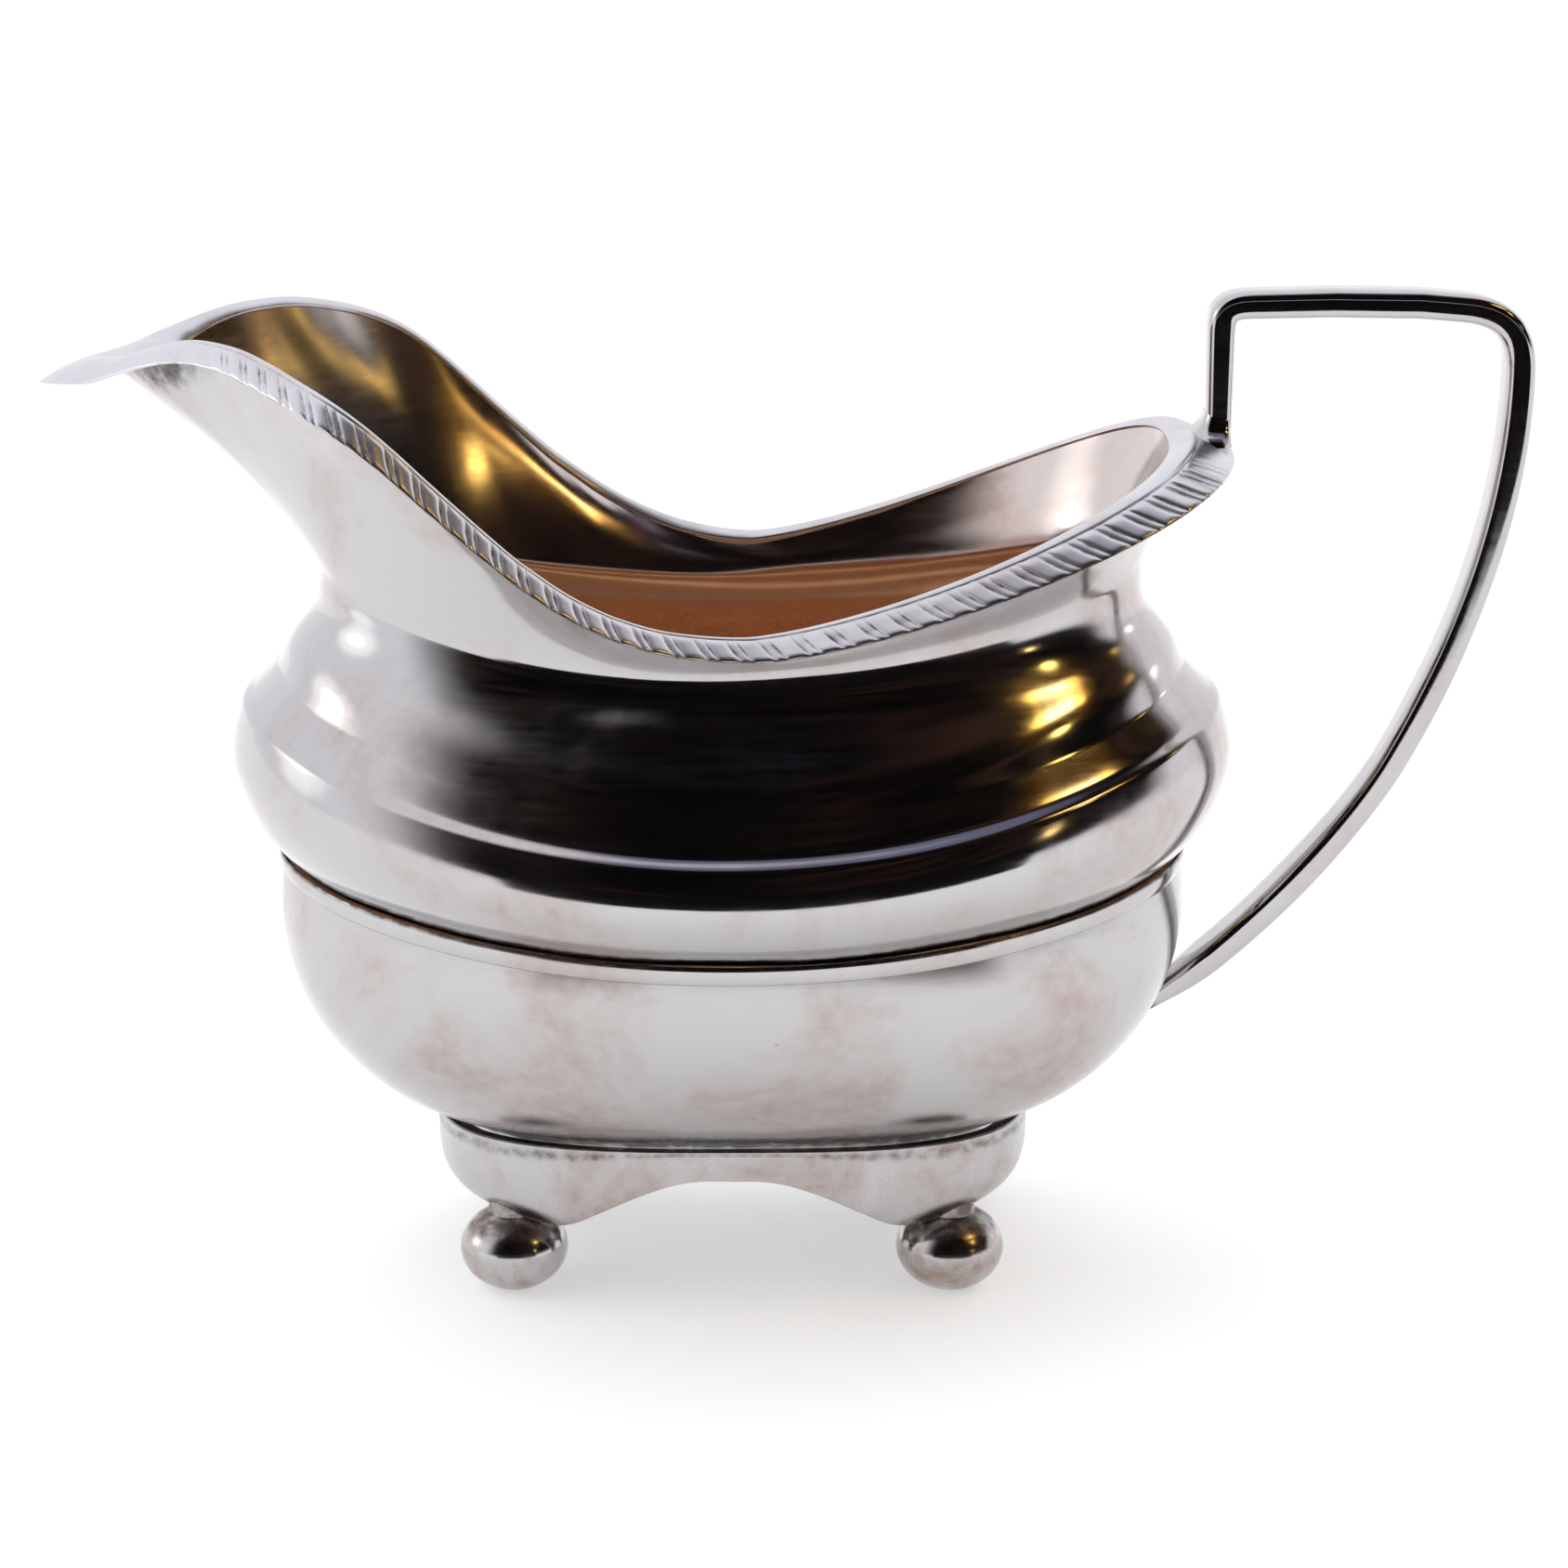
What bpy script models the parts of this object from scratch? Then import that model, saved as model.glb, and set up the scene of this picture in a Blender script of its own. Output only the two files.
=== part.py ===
# Silver cream jug: rounded-oblong body with a long pouring lip, gadrooned rim border,
# angular strap handle, arched foot skirt and four ball feet.  Metres, +Z up,
# +X towards the handle, -X towards the spout, mirror-symmetric about the XZ plane.
import math

import bmesh
import bpy
import numpy as np

MM = 0.001

# ---------------------------------------------------------------- driving dimensions (mm)
GAP = 0.3                    # clearance left between soldered pieces
WALL = 0.8                   # sheet thickness of the body
SKIRT_WALL = 1.0             # sheet thickness of the foot skirt
BODY_X = -5.0                # body centre measured from the middle of the overall length
HALF_STATIONS = 25           # stations round one half of the body, handle end to spout
PLAN_POWER = 2.4             # roundness of the body plan (2 is an ellipse)

# Horizontal rings of the body: half length, half depth, height at the middle of the
# side, extra height at the two ends.
GIRDLE = dict(length=43.0, depth=29.8, mid=37.3, lift=3.4)
BULGE_LOW = dict(length=46.1, depth=32.6, mid=41.0, lift=4.6)
BULGE = dict(length=47.6, depth=34.0, mid=44.8, lift=6.2)
BULGE_HIGH = dict(length=46.4, depth=32.9, mid=48.8, lift=7.6)
GROOVE = dict(length=42.9, depth=29.4, mid=51.4, lift=8.0)
ROLL = dict(length=41.7, depth=28.0, mid=53.8, lift=8.2)
NECK_LOW = dict(length=39.3, depth=24.8, mid=57.4, lift=7.8)
NECK = dict(length=38.8, depth=23.2, mid=60.0, lift=7.2)
NECK_TOP = dict(length=39.0, depth=22.9, mid=62.2, lift=7.6)

BASE = dict(length=27.6, depth=18.0, mid=16.25, lift=0.0)
BASE_POWER = 3.0             # the plan is squarer at the foot
BASE_FLOOR = 15.2            # underside of the flat bottom of the bowl

# Mouth: the rim dips at the middle, climbs to a crest before the spout tip and rises
# evenly to the handle.
RIM_LOW = 65.4               # height of the rim at its lowest point
RIM_LOW_X = 3.0
RIM_CREST = 90.1             # height of the crest near the spout
RIM_CREST_X = -44.5
TIP_X = -64.7                # spout tip, from the body centre
TIP_DROP = 4.6               # fall from the crest to the tip
HEEL_X = 47.3                # rim end under the handle
HEEL_RISE = 14.6             # rise from the lowest point to the heel
RIM_HALF = 29.4              # greatest half width of the mouth, ahead of the middle
RIM_HALF_BACK = 26.2         # half width of the mouth behind the middle
RIM_WIDE_X = -16.0           # where the mouth starts to close towards either end
RIM_EASE = 20.0              # length over which the two half widths blend
BORDER = 4.4                 # width of the gadrooned border
BORDER_TIP = 11.0            # length of the plain leaf-shaped lip at the spout tip
BORDER_HEEL = 6.0            # width of the border under the handle

SKIRT_TOP = 15.9             # top line of the foot skirt
SKIRT_LOW = 7.7              # lower edge at the corners
ARCH_RISE = 5.2              # height of the arches cut in the skirt
ARCH_LONG = 16.0             # half width of the arch in a long side
ARCH_SHORT = 8.5             # half width of the arch in a short side
SKIRT = dict(length=28.7, depth=19.1)

FOOT_X = 20.9                # ball feet, from the body centre
FOOT_Y = 12.5
FOOT_R = 5.25
FOOT_HALF_HEIGHT = 3.45
FOOT_FLAT = 1.6              # radius of the flat worn on the underside

STRAP_THICK = 2.8            # handle strap, in the plane of the handle
STRAP_WIDE = 5.2             # handle strap, across


# ---------------------------------------------------------------- clean start
for item in list(bpy.data.objects):
    bpy.data.objects.remove(item, do_unlink=True)


# ---------------------------------------------------------------- materials
def material(name, color, roughness):
    mat = bpy.data.materials.new(name)
    mat.use_nodes = True
    shader = mat.node_tree.nodes["Principled BSDF"]
    shader.inputs["Base Color"].default_value = (*color, 1.0)
    shader.inputs["Metallic"].default_value = 1.0
    shader.inputs["Roughness"].default_value = roughness
    return mat


# ---------------------------------------------------------------- curves round the body
def by_length(points, count):
    """Points of a curve respaced to equal lengths along it."""
    step = np.linalg.norm(np.diff(points[:, :2], axis=0), axis=1)
    run = np.concatenate(([0.0], np.cumsum(step)))
    run /= run[-1]
    want = np.linspace(0.0, 1.0, count)
    return np.stack([np.interp(want, run, points[:, k]) for k in range(points.shape[1])], 1)


def closed(front):
    """A front half curve (handle end to spout) joined to its mirror image behind."""
    back = front[-2:0:-1] * np.array([1.0, -1.0, 1.0])
    return np.concatenate((front, back))


def ring(spec, power, grow=0.0, count=HALF_STATIONS):
    """One level line of the body: a rounded oblong, lifted at both ends."""
    a = spec["length"] + grow
    b = spec["depth"] + grow
    turn = np.linspace(0.0, math.pi, 721)
    reach = (np.abs(np.cos(turn)) ** power + np.abs(np.sin(turn)) ** power) ** (-1.0 / power)
    x = a * reach * np.cos(turn)
    y = -b * reach * np.sin(turn)
    y[0] = 0.0
    y[-1] = 0.0
    z = spec["mid"] + spec["lift"] * (x / a) ** 2
    return closed(by_length(np.stack([x, y, z], 1), count))


def rim_height(x):
    """Height of the mouth's outer edge above the table at a distance along the jug."""
    climb = np.clip((RIM_LOW_X - x) / (RIM_LOW_X - RIM_CREST_X), 0.0, 1.0) ** 1.15
    climb = (3.0 - 2.0 * climb) * climb ** 2 * (RIM_CREST - RIM_LOW)
    fall = np.clip((RIM_CREST_X - x) / (RIM_CREST_X - TIP_X), 0.0, None) ** 1.6 * TIP_DROP
    heel = np.clip((x - RIM_LOW_X) / (HEEL_X - RIM_LOW_X), 0.0, None) ** 1.4 * HEEL_RISE
    return RIM_LOW + climb - fall + heel


def rim(inset, count=HALF_STATIONS):
    """Front half of a mouth line: inset 0 is the border's outer edge, 1 its inner edge."""
    def line(part):
        tip = TIP_X + BORDER_TIP * part
        heel = HEEL_X - BORDER_HEEL * part
        turn = np.linspace(0.0, 0.5 * math.pi, 721)
        back = np.sin(turn[::-1])
        ahead = np.sin(turn)
        x_back = RIM_WIDE_X + (heel - RIM_WIDE_X) * back
        ease = np.clip((x_back - RIM_WIDE_X) / RIM_EASE, 0.0, 1.0)
        ease = ease ** 2 * (3.0 - 2.0 * ease)
        half = RIM_HALF + (RIM_HALF_BACK - RIM_HALF) * ease - BORDER * part
        w_back = half * np.clip(1.0 - back ** 6, 0.0, 1.0) ** 0.4
        x_ahead = RIM_WIDE_X + (tip - RIM_WIDE_X) * ahead
        w_ahead = (RIM_HALF - BORDER * part) * np.clip(1.0 - ahead ** 1.8, 0.0, 1.0) ** 0.75
        x = np.concatenate((x_back, x_ahead[1:]))
        y = -np.concatenate((w_back, w_ahead[1:]))
        y[0] = 0.0
        y[-1] = 0.0
        return by_length(np.stack([x, y, rim_height(x)], 1), count)
    outer = line(0.0)
    inner = line(inset)
    inner[:, 2] = outer[:, 2]
    return inner


def spline(rings, per_span, first=None, last=None):
    """Smooth cubic through a list of rings; returns every level of it."""
    rings = np.asarray(rings)
    gap = np.linalg.norm(np.diff(rings, axis=0), axis=2).mean(axis=1)
    knot = np.concatenate(([0.0], np.cumsum(gap)))
    slope = np.empty_like(rings)
    slope[1:-1] = (rings[2:] - rings[:-2]) / (knot[2:] - knot[:-2])[:, None, None]
    slope[0] = (rings[1] - rings[0]) / gap[0] if first is None else first
    slope[-1] = (rings[-1] - rings[-2]) / gap[-1] if last is None else last
    levels = []
    for k, span in enumerate(gap):
        t = np.arange(per_span)[:, None, None] / per_span
        h00 = 2 * t ** 3 - 3 * t ** 2 + 1
        h10 = (t ** 3 - 2 * t ** 2 + t) * span
        h01 = 3 * t ** 2 - 2 * t ** 3
        h11 = (t ** 3 - t ** 2) * span
        levels.append(h00 * rings[k] + h10 * slope[k] + h01 * rings[k + 1] + h11 * slope[k + 1])
    levels.append(rings[-1:])
    return np.concatenate(levels)


def inward(levels, depth):
    """The same levels moved inside the wall by a depth, along the surface normal."""
    along = np.roll(levels, -1, axis=1) - np.roll(levels, 1, axis=1)
    up = np.gradient(levels, axis=0)
    normal = np.cross(along, up)
    normal /= np.linalg.norm(normal, axis=2, keepdims=True)
    moved = levels + normal * depth
    moved[:, 0, 1] = 0.0
    return moved


# ---------------------------------------------------------------- mesh building
def build(name, verts, faces, mat):
    mesh = bpy.data.meshes.new(name)
    points = np.asarray(verts, float) + np.array([BODY_X, 0.0, 0.0])
    mesh.from_pydata((points * MM).tolist(), [], faces)
    work = bmesh.new()
    work.from_mesh(mesh)
    bmesh.ops.recalc_face_normals(work, faces=work.faces[:])
    work.to_mesh(mesh)
    work.free()
    mesh.materials.append(mat)
    obj = bpy.data.objects.new(name, mesh)
    bpy.context.scene.collection.objects.link(obj)
    return obj


def grid_faces(rows, cols, loop_rows, loop_cols):
    """Quads of a grid of points, closed on itself in either direction."""
    faces = []
    for r in range(rows if loop_rows else rows - 1):
        for c in range(cols if loop_cols else cols - 1):
            r2 = (r + 1) % rows
            c2 = (c + 1) % cols
            faces.append((r * cols + c, r * cols + c2, r2 * cols + c2, r2 * cols + c))
    return faces


def hoop(name, levels, mat):
    """A hollow ring-shaped solid: levels go up the outside and down the inside."""
    rows, cols, _ = levels.shape
    build(name, levels.reshape(-1, 3), grid_faces(rows, cols, True, True), mat)


def bar(name, sections, mat):
    """A solid bar through a row of closed sections, capped at both ends."""
    rows, cols, _ = sections.shape
    faces = grid_faces(rows, cols, False, True)
    faces.append(tuple(range(cols)))
    faces.append(tuple(range((rows - 1) * cols, rows * cols)))
    build(name, sections.reshape(-1, 3), faces, mat)


# ---------------------------------------------------------------- upper body
SHELL_IN = 0.55              # where the shell meets the border, across the border's width

silver_body = material("upper_body", (0.78, 0.77, 0.77), 0.16)
joint_top = dict(GIRDLE, mid=GIRDLE["mid"] + 0.5 * GAP)
bulge = spline([ring(s, PLAN_POWER) for s in (joint_top, BULGE_LOW, BULGE, BULGE_HIGH, GROOVE)], 3)
neck_rings = [ring(s, PLAN_POWER) for s in (GROOVE, ROLL, NECK_LOW, NECK, NECK_TOP)]
mouth = closed(rim(SHELL_IN))
mouth[:, 2] -= 0.15
rise = mouth - neck_rings[-1]
half_way = neck_rings[-1] + rise * np.array([0.46, 0.46, 0.52])
upper = spline(neck_rings + [half_way, mouth], 2)
shell = np.concatenate((bulge, upper[1:]))
lining = inward(shell, WALL)
lining[-1] = closed(rim(SHELL_IN + WALL / BORDER))
lining[-1, :, 2] -= 0.15
hoop("upper_body", np.concatenate((shell, lining[::-1])), silver_body)

# ---------------------------------------------------------------- lower bowl
silver_bowl = material("lower_bowl", (0.76, 0.74, 0.73), 0.22)
joint_low = dict(GIRDLE, mid=GIRDLE["mid"] - 0.5 * GAP)
ctrl = [
    ring(BASE, BASE_POWER),
    ring(dict(length=35.8, depth=24.2, mid=19.4, lift=0.2), 2.8),
    ring(dict(length=44.3, depth=30.8, mid=26.0, lift=1.2), 2.5),
    ring(joint_low, PLAN_POWER),
]
t = np.linspace(0.0, 1.0, 9)[:, None, None]
side = ctrl[0] * (1 - t) ** 3 + 3 * ctrl[1] * t * (1 - t) ** 2
side = side + 3 * ctrl[2] * t ** 2 * (1 - t) + ctrl[3] * t ** 3
edge = ring(dict(BASE, mid=BASE_FLOOR), BASE_POWER, -1.0)
outside = np.concatenate((edge[None] * np.array([0.5, 0.5, 1.0]), edge[None], side))
inside = inward(side, WALL)
inside[0] = edge * np.array([0.985, 0.985, 0.0]) + np.array([0.0, 0.0, BASE_FLOOR + WALL + 0.25])
middle = inside[0] * np.array([0.5, 0.5, 1.0])
loops = np.concatenate((outside, inside[::-1], middle[None]))
rows, cols, _ = loops.shape
bowl_verts = np.concatenate((loops.reshape(-1, 3),
                             [[0.0, 0.0, BASE_FLOOR]],
                             [[0.0, 0.0, middle[0, 2]]]))
bowl_faces = grid_faces(rows, cols, False, True)
bowl_faces += [(c, (c + 1) % cols, rows * cols) for c in range(cols)]
last = (rows - 1) * cols
bowl_faces += [(last + c, last + (c + 1) % cols, rows * cols + 1) for c in range(cols)]
build("lower_bowl", bowl_verts, bowl_faces, silver_bowl)

# ---------------------------------------------------------------- girdle moulding
silver_girdle = material("girdle_moulding", (0.80, 0.79, 0.78), 0.16)
BEAD_HALF = 0.6              # half height of the bead
BEAD_OUT = 0.55              # how far it stands off its seat
SEAT_LOW = 0.32              # clearance of its seat from the joint line, at the bottom
SEAT_HIGH = 0.75             # and at the top, where the wall leans out
bead = []
for k in range(7):
    turn = math.pi * (k / 6.0 - 0.5)
    rise_part = 0.5 + 0.5 * math.sin(turn)
    seat = SEAT_LOW + (SEAT_HIGH - SEAT_LOW) * rise_part
    level = dict(GIRDLE, mid=GIRDLE["mid"] + BEAD_HALF * math.sin(turn))
    bead.append(ring(level, PLAN_POWER, seat + BEAD_OUT * math.cos(turn)))
hoop("girdle_moulding", np.asarray(bead), silver_girdle)

# ---------------------------------------------------------------- gadrooned rim border
silver_border = material("rim_border", (0.84, 0.84, 0.85), 0.14)
BORDER_STATIONS = 49
SECTION = [                  # across the border (0 outer, 1 inner), height above the edge
    (0.00, 0.00),
    (0.10, 0.60),
    (0.30, 1.00),
    (0.52, 1.15),
    (0.72, 1.12),
    (0.90, 1.00),
    (1.00, 0.85),
    (1.00, 0.30),
    (0.55, 0.18),
    (0.12, -0.40),
]
lines = []
for across, height in SECTION:
    line = rim(across, BORDER_STATIONS)
    slim = np.clip((line[:, 0] + 36.0) / (TIP_X + 36.0), 0.0, 1.0)
    line[:, 2] += height * (1.0 - 0.5 * slim) if height > 0.5 else height
    lines.append(line)
near = np.stack(lines, 1)
near[0, :, 1] = -0.5 * GAP
near[-1, :, 1] = -0.5 * GAP
bar("rim_border_near", near, silver_border)
bar("rim_border_far", near * np.array([1.0, -1.0, 1.0]), silver_border)

# ---------------------------------------------------------------- foot skirt
silver_skirt = material("foot_skirt", (0.74, 0.72, 0.71), 0.26)
SKIRT_STATIONS = 33
SKIRT_POWER = 3.0


def skirt_ring(fall, wall):
    """A level line of the skirt: fall 0 is its top, 1 its cut lower edge."""
    plan = ring(dict(SKIRT, mid=0.0, lift=0.0), SKIRT_POWER, 0.0, SKIRT_STATIONS)
    x = np.abs(plan[:, 0])
    y = np.abs(plan[:, 1])
    on_long = np.clip(1.0 - x / ARCH_LONG, 0.0, 1.0) * (y > 0.5 * SKIRT["depth"])
    on_short = np.clip(1.0 - y / ARCH_SHORT, 0.0, 1.0) * (x > 0.75 * SKIRT["length"])
    hump = np.clip(1.12 * np.maximum(on_long, on_short), 0.0, 1.0)
    hump = hump ** 2 * (3.0 - 2.0 * hump)
    low = SKIRT_LOW + ARCH_RISE * hump
    z = SKIRT_TOP + (low - SKIRT_TOP) * fall
    drop = np.clip((SKIRT_TOP - z) / (SKIRT_TOP - SKIRT_LOW), 0.0, 1.0)
    inset = 3.3 * drop ** 3.2 + wall
    shape = np.empty_like(plan)
    shape[:, 0] = plan[:, 0] * (SKIRT["length"] - inset) / SKIRT["length"]
    shape[:, 1] = plan[:, 1] * (SKIRT["depth"] - inset) / SKIRT["depth"]
    shape[:, 2] = z
    return shape


falls = (1.0, 0.75, 0.5, 0.25, 0.0)
skirt_out = [skirt_ring(f, 0.0) for f in falls]
skirt_in = [skirt_ring(f, SKIRT_WALL) for f in falls[::-1]]
hoop("foot_skirt", np.asarray(skirt_out + skirt_in), silver_skirt)

# ---------------------------------------------------------------- ball feet
FOOT_TURNS = 16
flat_angle = math.asin(FOOT_FLAT / FOOT_R)
foot_mid = FOOT_HALF_HEIGHT * math.cos(flat_angle)
pad_r = 1.9
profile = []
for k in range(9):
    turn = flat_angle + (math.pi - flat_angle - math.asin(pad_r / FOOT_R)) * k / 8.0
    profile.append((FOOT_R * math.sin(turn), foot_mid - FOOT_HALF_HEIGHT * math.cos(turn)))
profile.append((pad_r, SKIRT_LOW - GAP))
silver_foot = material("ball_foot", (0.80, 0.78, 0.76), 0.14)
spin = np.arange(FOOT_TURNS) * 2.0 * math.pi / FOOT_TURNS
disc = np.stack([np.cos(spin), np.sin(spin), np.zeros(FOOT_TURNS)], 1)
ball = np.stack([disc * r + np.array([0.0, 0.0, z]) for r, z in profile])
corners = {
    "ball_foot_spout_near": (-1, -1),
    "ball_foot_handle_near": (1, -1),
    "ball_foot_handle_far": (1, 1),
    "ball_foot_spout_far": (-1, 1),
}
for foot_name, (sx, sy) in corners.items():
    bar(foot_name, ball + np.array([sx * FOOT_X, sy * FOOT_Y, 0.0]), silver_foot)

# ---------------------------------------------------------------- handle
silver_handle = material("handle", (0.80, 0.79, 0.77), 0.16)
SOCKET_TOP = 82.9


def bezier(p0, p1, p2, p3, count):
    t = np.linspace(0.0, 1.0, count + 1)[1:, None]
    p0, p1, p2, p3 = (np.asarray(p, float) for p in (p0, p1, p2, p3))
    return p0 * (1 - t) ** 3 + 3 * p1 * t * (1 - t) ** 2 + 3 * p2 * t ** 2 * (1 - t) + p3 * t ** 3


# Centre line in the handle's plane, from the socket on the rim to the bowl.
path = np.concatenate((
    [[45.8, SOCKET_TOP + GAP], [45.7, 87.0], [45.65, 90.2]],
    bezier((45.65, 90.2), (45.65, 92.4), (46.3, 92.8), (48.6, 92.85), 4),
    [[56.0, 93.0], [64.0, 92.9], [67.6, 92.6]],
    bezier((67.6, 92.6), (71.8, 92.3), (73.6, 90.6), (73.65, 86.5), 5),
    bezier((73.65, 86.5), (73.7, 73.5), (69.5, 60.5), (63.0, 48.65), 8),
    bezier((63.0, 48.65), (59.7, 42.8), (52.3, 34.0), (43.9, 27.2), 7),
))
heading = np.gradient(path, axis=0)
heading /= np.linalg.norm(heading, axis=1, keepdims=True)
side_way = np.stack([heading[:, 1], -heading[:, 0]], 1)
run = np.concatenate(([0.0], np.cumsum(np.linalg.norm(np.diff(path, axis=0), axis=1))))
run /= run[-1]
thin = 1.0 - 0.55 * np.clip((run - 0.93) / 0.07, 0.0, 1.0) ** 1.5
corner_turns = [(-0.5, -1), (0.5, -1), (1.0, -0.55), (1.0, 0.55), (0.5, 1), (-0.5, 1), (-1.0, 0.55), (-1.0, -0.55)]
strap = []
for u, v in corner_turns:
    offset = side_way * (0.5 * STRAP_THICK * u * thin)[:, None]
    flat = path + offset
    wide = 0.5 * STRAP_WIDE * v * (0.35 + 0.65 * thin)
    strap.append(np.stack([flat[:, 0], wide, flat[:, 1]], 1))
bar("handle", np.stack(strap, 1), silver_handle)

# ---------------------------------------------------------------- handle socket on the rim
silver_socket = material("handle_socket", (0.78, 0.76, 0.74), 0.20)
socket = []
for z, hx, hy in ((81.75, 1.9, 3.1), (82.3, 1.75, 2.9), (SOCKET_TOP, 1.6, 2.75)):
    turn = np.arange(12) * math.pi / 6.0
    reach = (np.abs(np.cos(turn)) ** 4 + np.abs(np.sin(turn)) ** 4) ** -0.25
    lap = np.stack([45.8 + hx * reach * np.cos(turn), hy * reach * np.sin(turn), turn * 0.0 + z], 1)
    socket.append(lap)
bar("handle_socket", np.asarray(socket), silver_socket)
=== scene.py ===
"""A silver cream jug on four ball feet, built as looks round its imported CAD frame.

Sizes are in millimetres in the jug's own frame: x runs from the spout (negative)
to the handle (positive), y away from the viewer, z up from the table. The CAD frame's
shift along x is read from the frame, and points turn to metres when a mesh is made.
"""
import logging
import math
from dataclasses import dataclass, replace
from enum import Enum
from typing import Any, Optional, Sequence

import bpy
import numpy as np
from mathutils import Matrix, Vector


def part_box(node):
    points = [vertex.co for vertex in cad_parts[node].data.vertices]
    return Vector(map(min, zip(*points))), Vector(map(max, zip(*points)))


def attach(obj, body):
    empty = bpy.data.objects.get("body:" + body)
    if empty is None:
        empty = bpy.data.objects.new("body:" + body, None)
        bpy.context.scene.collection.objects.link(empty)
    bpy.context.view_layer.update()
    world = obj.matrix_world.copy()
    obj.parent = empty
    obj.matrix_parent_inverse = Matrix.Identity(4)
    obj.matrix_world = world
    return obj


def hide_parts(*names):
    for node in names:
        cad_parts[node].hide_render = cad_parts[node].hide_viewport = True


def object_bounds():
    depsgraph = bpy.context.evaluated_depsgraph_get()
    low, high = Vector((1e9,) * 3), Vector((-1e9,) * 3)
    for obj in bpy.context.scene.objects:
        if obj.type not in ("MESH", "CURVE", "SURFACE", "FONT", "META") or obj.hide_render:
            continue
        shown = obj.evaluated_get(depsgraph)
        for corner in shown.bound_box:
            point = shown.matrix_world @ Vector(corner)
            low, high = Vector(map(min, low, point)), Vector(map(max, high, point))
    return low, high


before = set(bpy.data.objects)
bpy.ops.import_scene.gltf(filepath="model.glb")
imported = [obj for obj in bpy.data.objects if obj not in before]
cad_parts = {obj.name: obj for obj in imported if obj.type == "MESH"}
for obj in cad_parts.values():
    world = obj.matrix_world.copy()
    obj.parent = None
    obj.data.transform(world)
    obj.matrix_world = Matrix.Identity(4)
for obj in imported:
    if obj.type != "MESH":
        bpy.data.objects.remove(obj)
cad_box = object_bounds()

MM = 0.001
FINE = 1441  # points on a curve before it is respaced
SHARP_ANGLE = 38.0  # degrees between two faces that make a crisp edge
WAVE_COUNT = 7
WAVE_LENGTHS = (13.0, 34.0)
STAIN_AND_REFLECTION = 0.9  # how much the lining is stained orange-brown, partly as painted warm reflection
Array = np.ndarray
Pair = tuple[float, float]
Triple = tuple[float, float, float]
Quad = tuple[float, float, float, float]
Bell = Triple  # a bell curve's height, the place of its top, and its width
Material = bpy.types.Material
Socket = bpy.types.NodeSocket
Tree = bpy.types.NodeTree
log = logging.getLogger("cream_jug")


# ---- small tools
def linear(code: str) -> Quad:
    """Turns an sRGB hex colour, such as "#D8D4CF", into linear red, green, blue and alpha 1."""
    parts = np.array([int(code[k:k + 2], 16) for k in (1, 3, 5)]) / 255.0
    low = parts / 12.92
    high = ((parts + 0.055) / 1.055) ** 2.4
    return (*np.where(parts <= 0.04045, low, high).tolist(), 1.0)


def add_node(tree: Tree, kind: str, settings: Optional[dict[str, Any]] = None,
             inputs: Optional[dict[Any, Any]] = None) -> bpy.types.Node:
    """Adds a shader node with its settings, fixed inputs and links.

    Args:
        tree: Node tree to add to.
        kind: Node type without its first words, such as "Math".
        settings: Node properties by name.
        inputs: Fixed values, or output sockets to link, by input name or number.

    Returns:
        The new node.
    """
    made = tree.nodes.new("ShaderNode" + kind)
    for key, value in (settings or {}).items():
        setattr(made, key, value)
    for key, value in (inputs or {}).items():
        if isinstance(value, Socket):
            tree.links.new(value, made.inputs[key])
        else:
            made.inputs[key].default_value = value
    return made


def calc(tree: Tree, operation: str, *terms: Any, clamp: bool = False) -> Socket:
    """Result of a maths node whose terms are numbers or sockets, held to 0 to 1 if clamped."""
    return add_node(tree, "Math", {"operation": operation, "use_clamp": clamp},
                    dict(enumerate(terms))).outputs[0]


def noise(tree: Tree, at: Socket, size: float, detail: float, roughness: float = 0.5,
          distortion: float = 0.0) -> Socket:
    """Noise from 0 to 1 at a place, with its largest blobs of a size in the place's unit."""
    return add_node(tree, "TexNoise", {}, {
        "Vector": at, "Scale": 1 / size, "Detail": detail, "Roughness": roughness,
        "Distortion": distortion}).outputs["Fac"]


def ramp(tree: Tree, value: Socket, band: Pair,
         to: Pair = (0.0, 1.0), eased: bool = True) -> Socket:
    """Maps a band of a value to another range, held at its ends, with a soft start and stop."""
    return add_node(tree, "MapRange", {"interpolation_type": "SMOOTHSTEP" if eased else "LINEAR"},
                    {"Value": value, "From Min": band[0], "From Max": band[1],
                     "To Min": to[0], "To Max": to[1]}).outputs[0]


def blend(tree: Tree, part: Socket, one: Any, two: Any) -> Socket:
    """Mixes two colours, each a fixed one or a socket: part 0 gives the first, 1 the second."""
    return add_node(tree, "Mix", {"data_type": "RGBA"}, {0: part, 6: one, 7: two}).outputs[2]


def smooth(value: Array, start: float = 0.0, run: float = 1.0) -> Array:
    """Eased step from 0 at start to 1 a run later: three times the square less twice the cube."""
    part = np.clip((value - start) / run, 0.0, 1.0)
    return part * part * (3.0 - 2.0 * part)


def bells(value: Array, *marks: Bell) -> Array:
    """Sum of bell curves, each given by its height, the place of its top and its width."""
    return sum(high * np.exp(-((value - top) / width) ** 2) for high, top, width in marks)


def squared_round(turn: Array, power: float) -> tuple[Array, Array]:
    """Points of the superellipse |u|^p + |v|^p = 1 in the directions of the angles."""
    u, v = np.cos(turn), np.sin(turn)
    reach = (np.abs(u) ** power + np.abs(v) ** power) ** (-1.0 / power)
    return reach * u, reach * v


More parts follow.
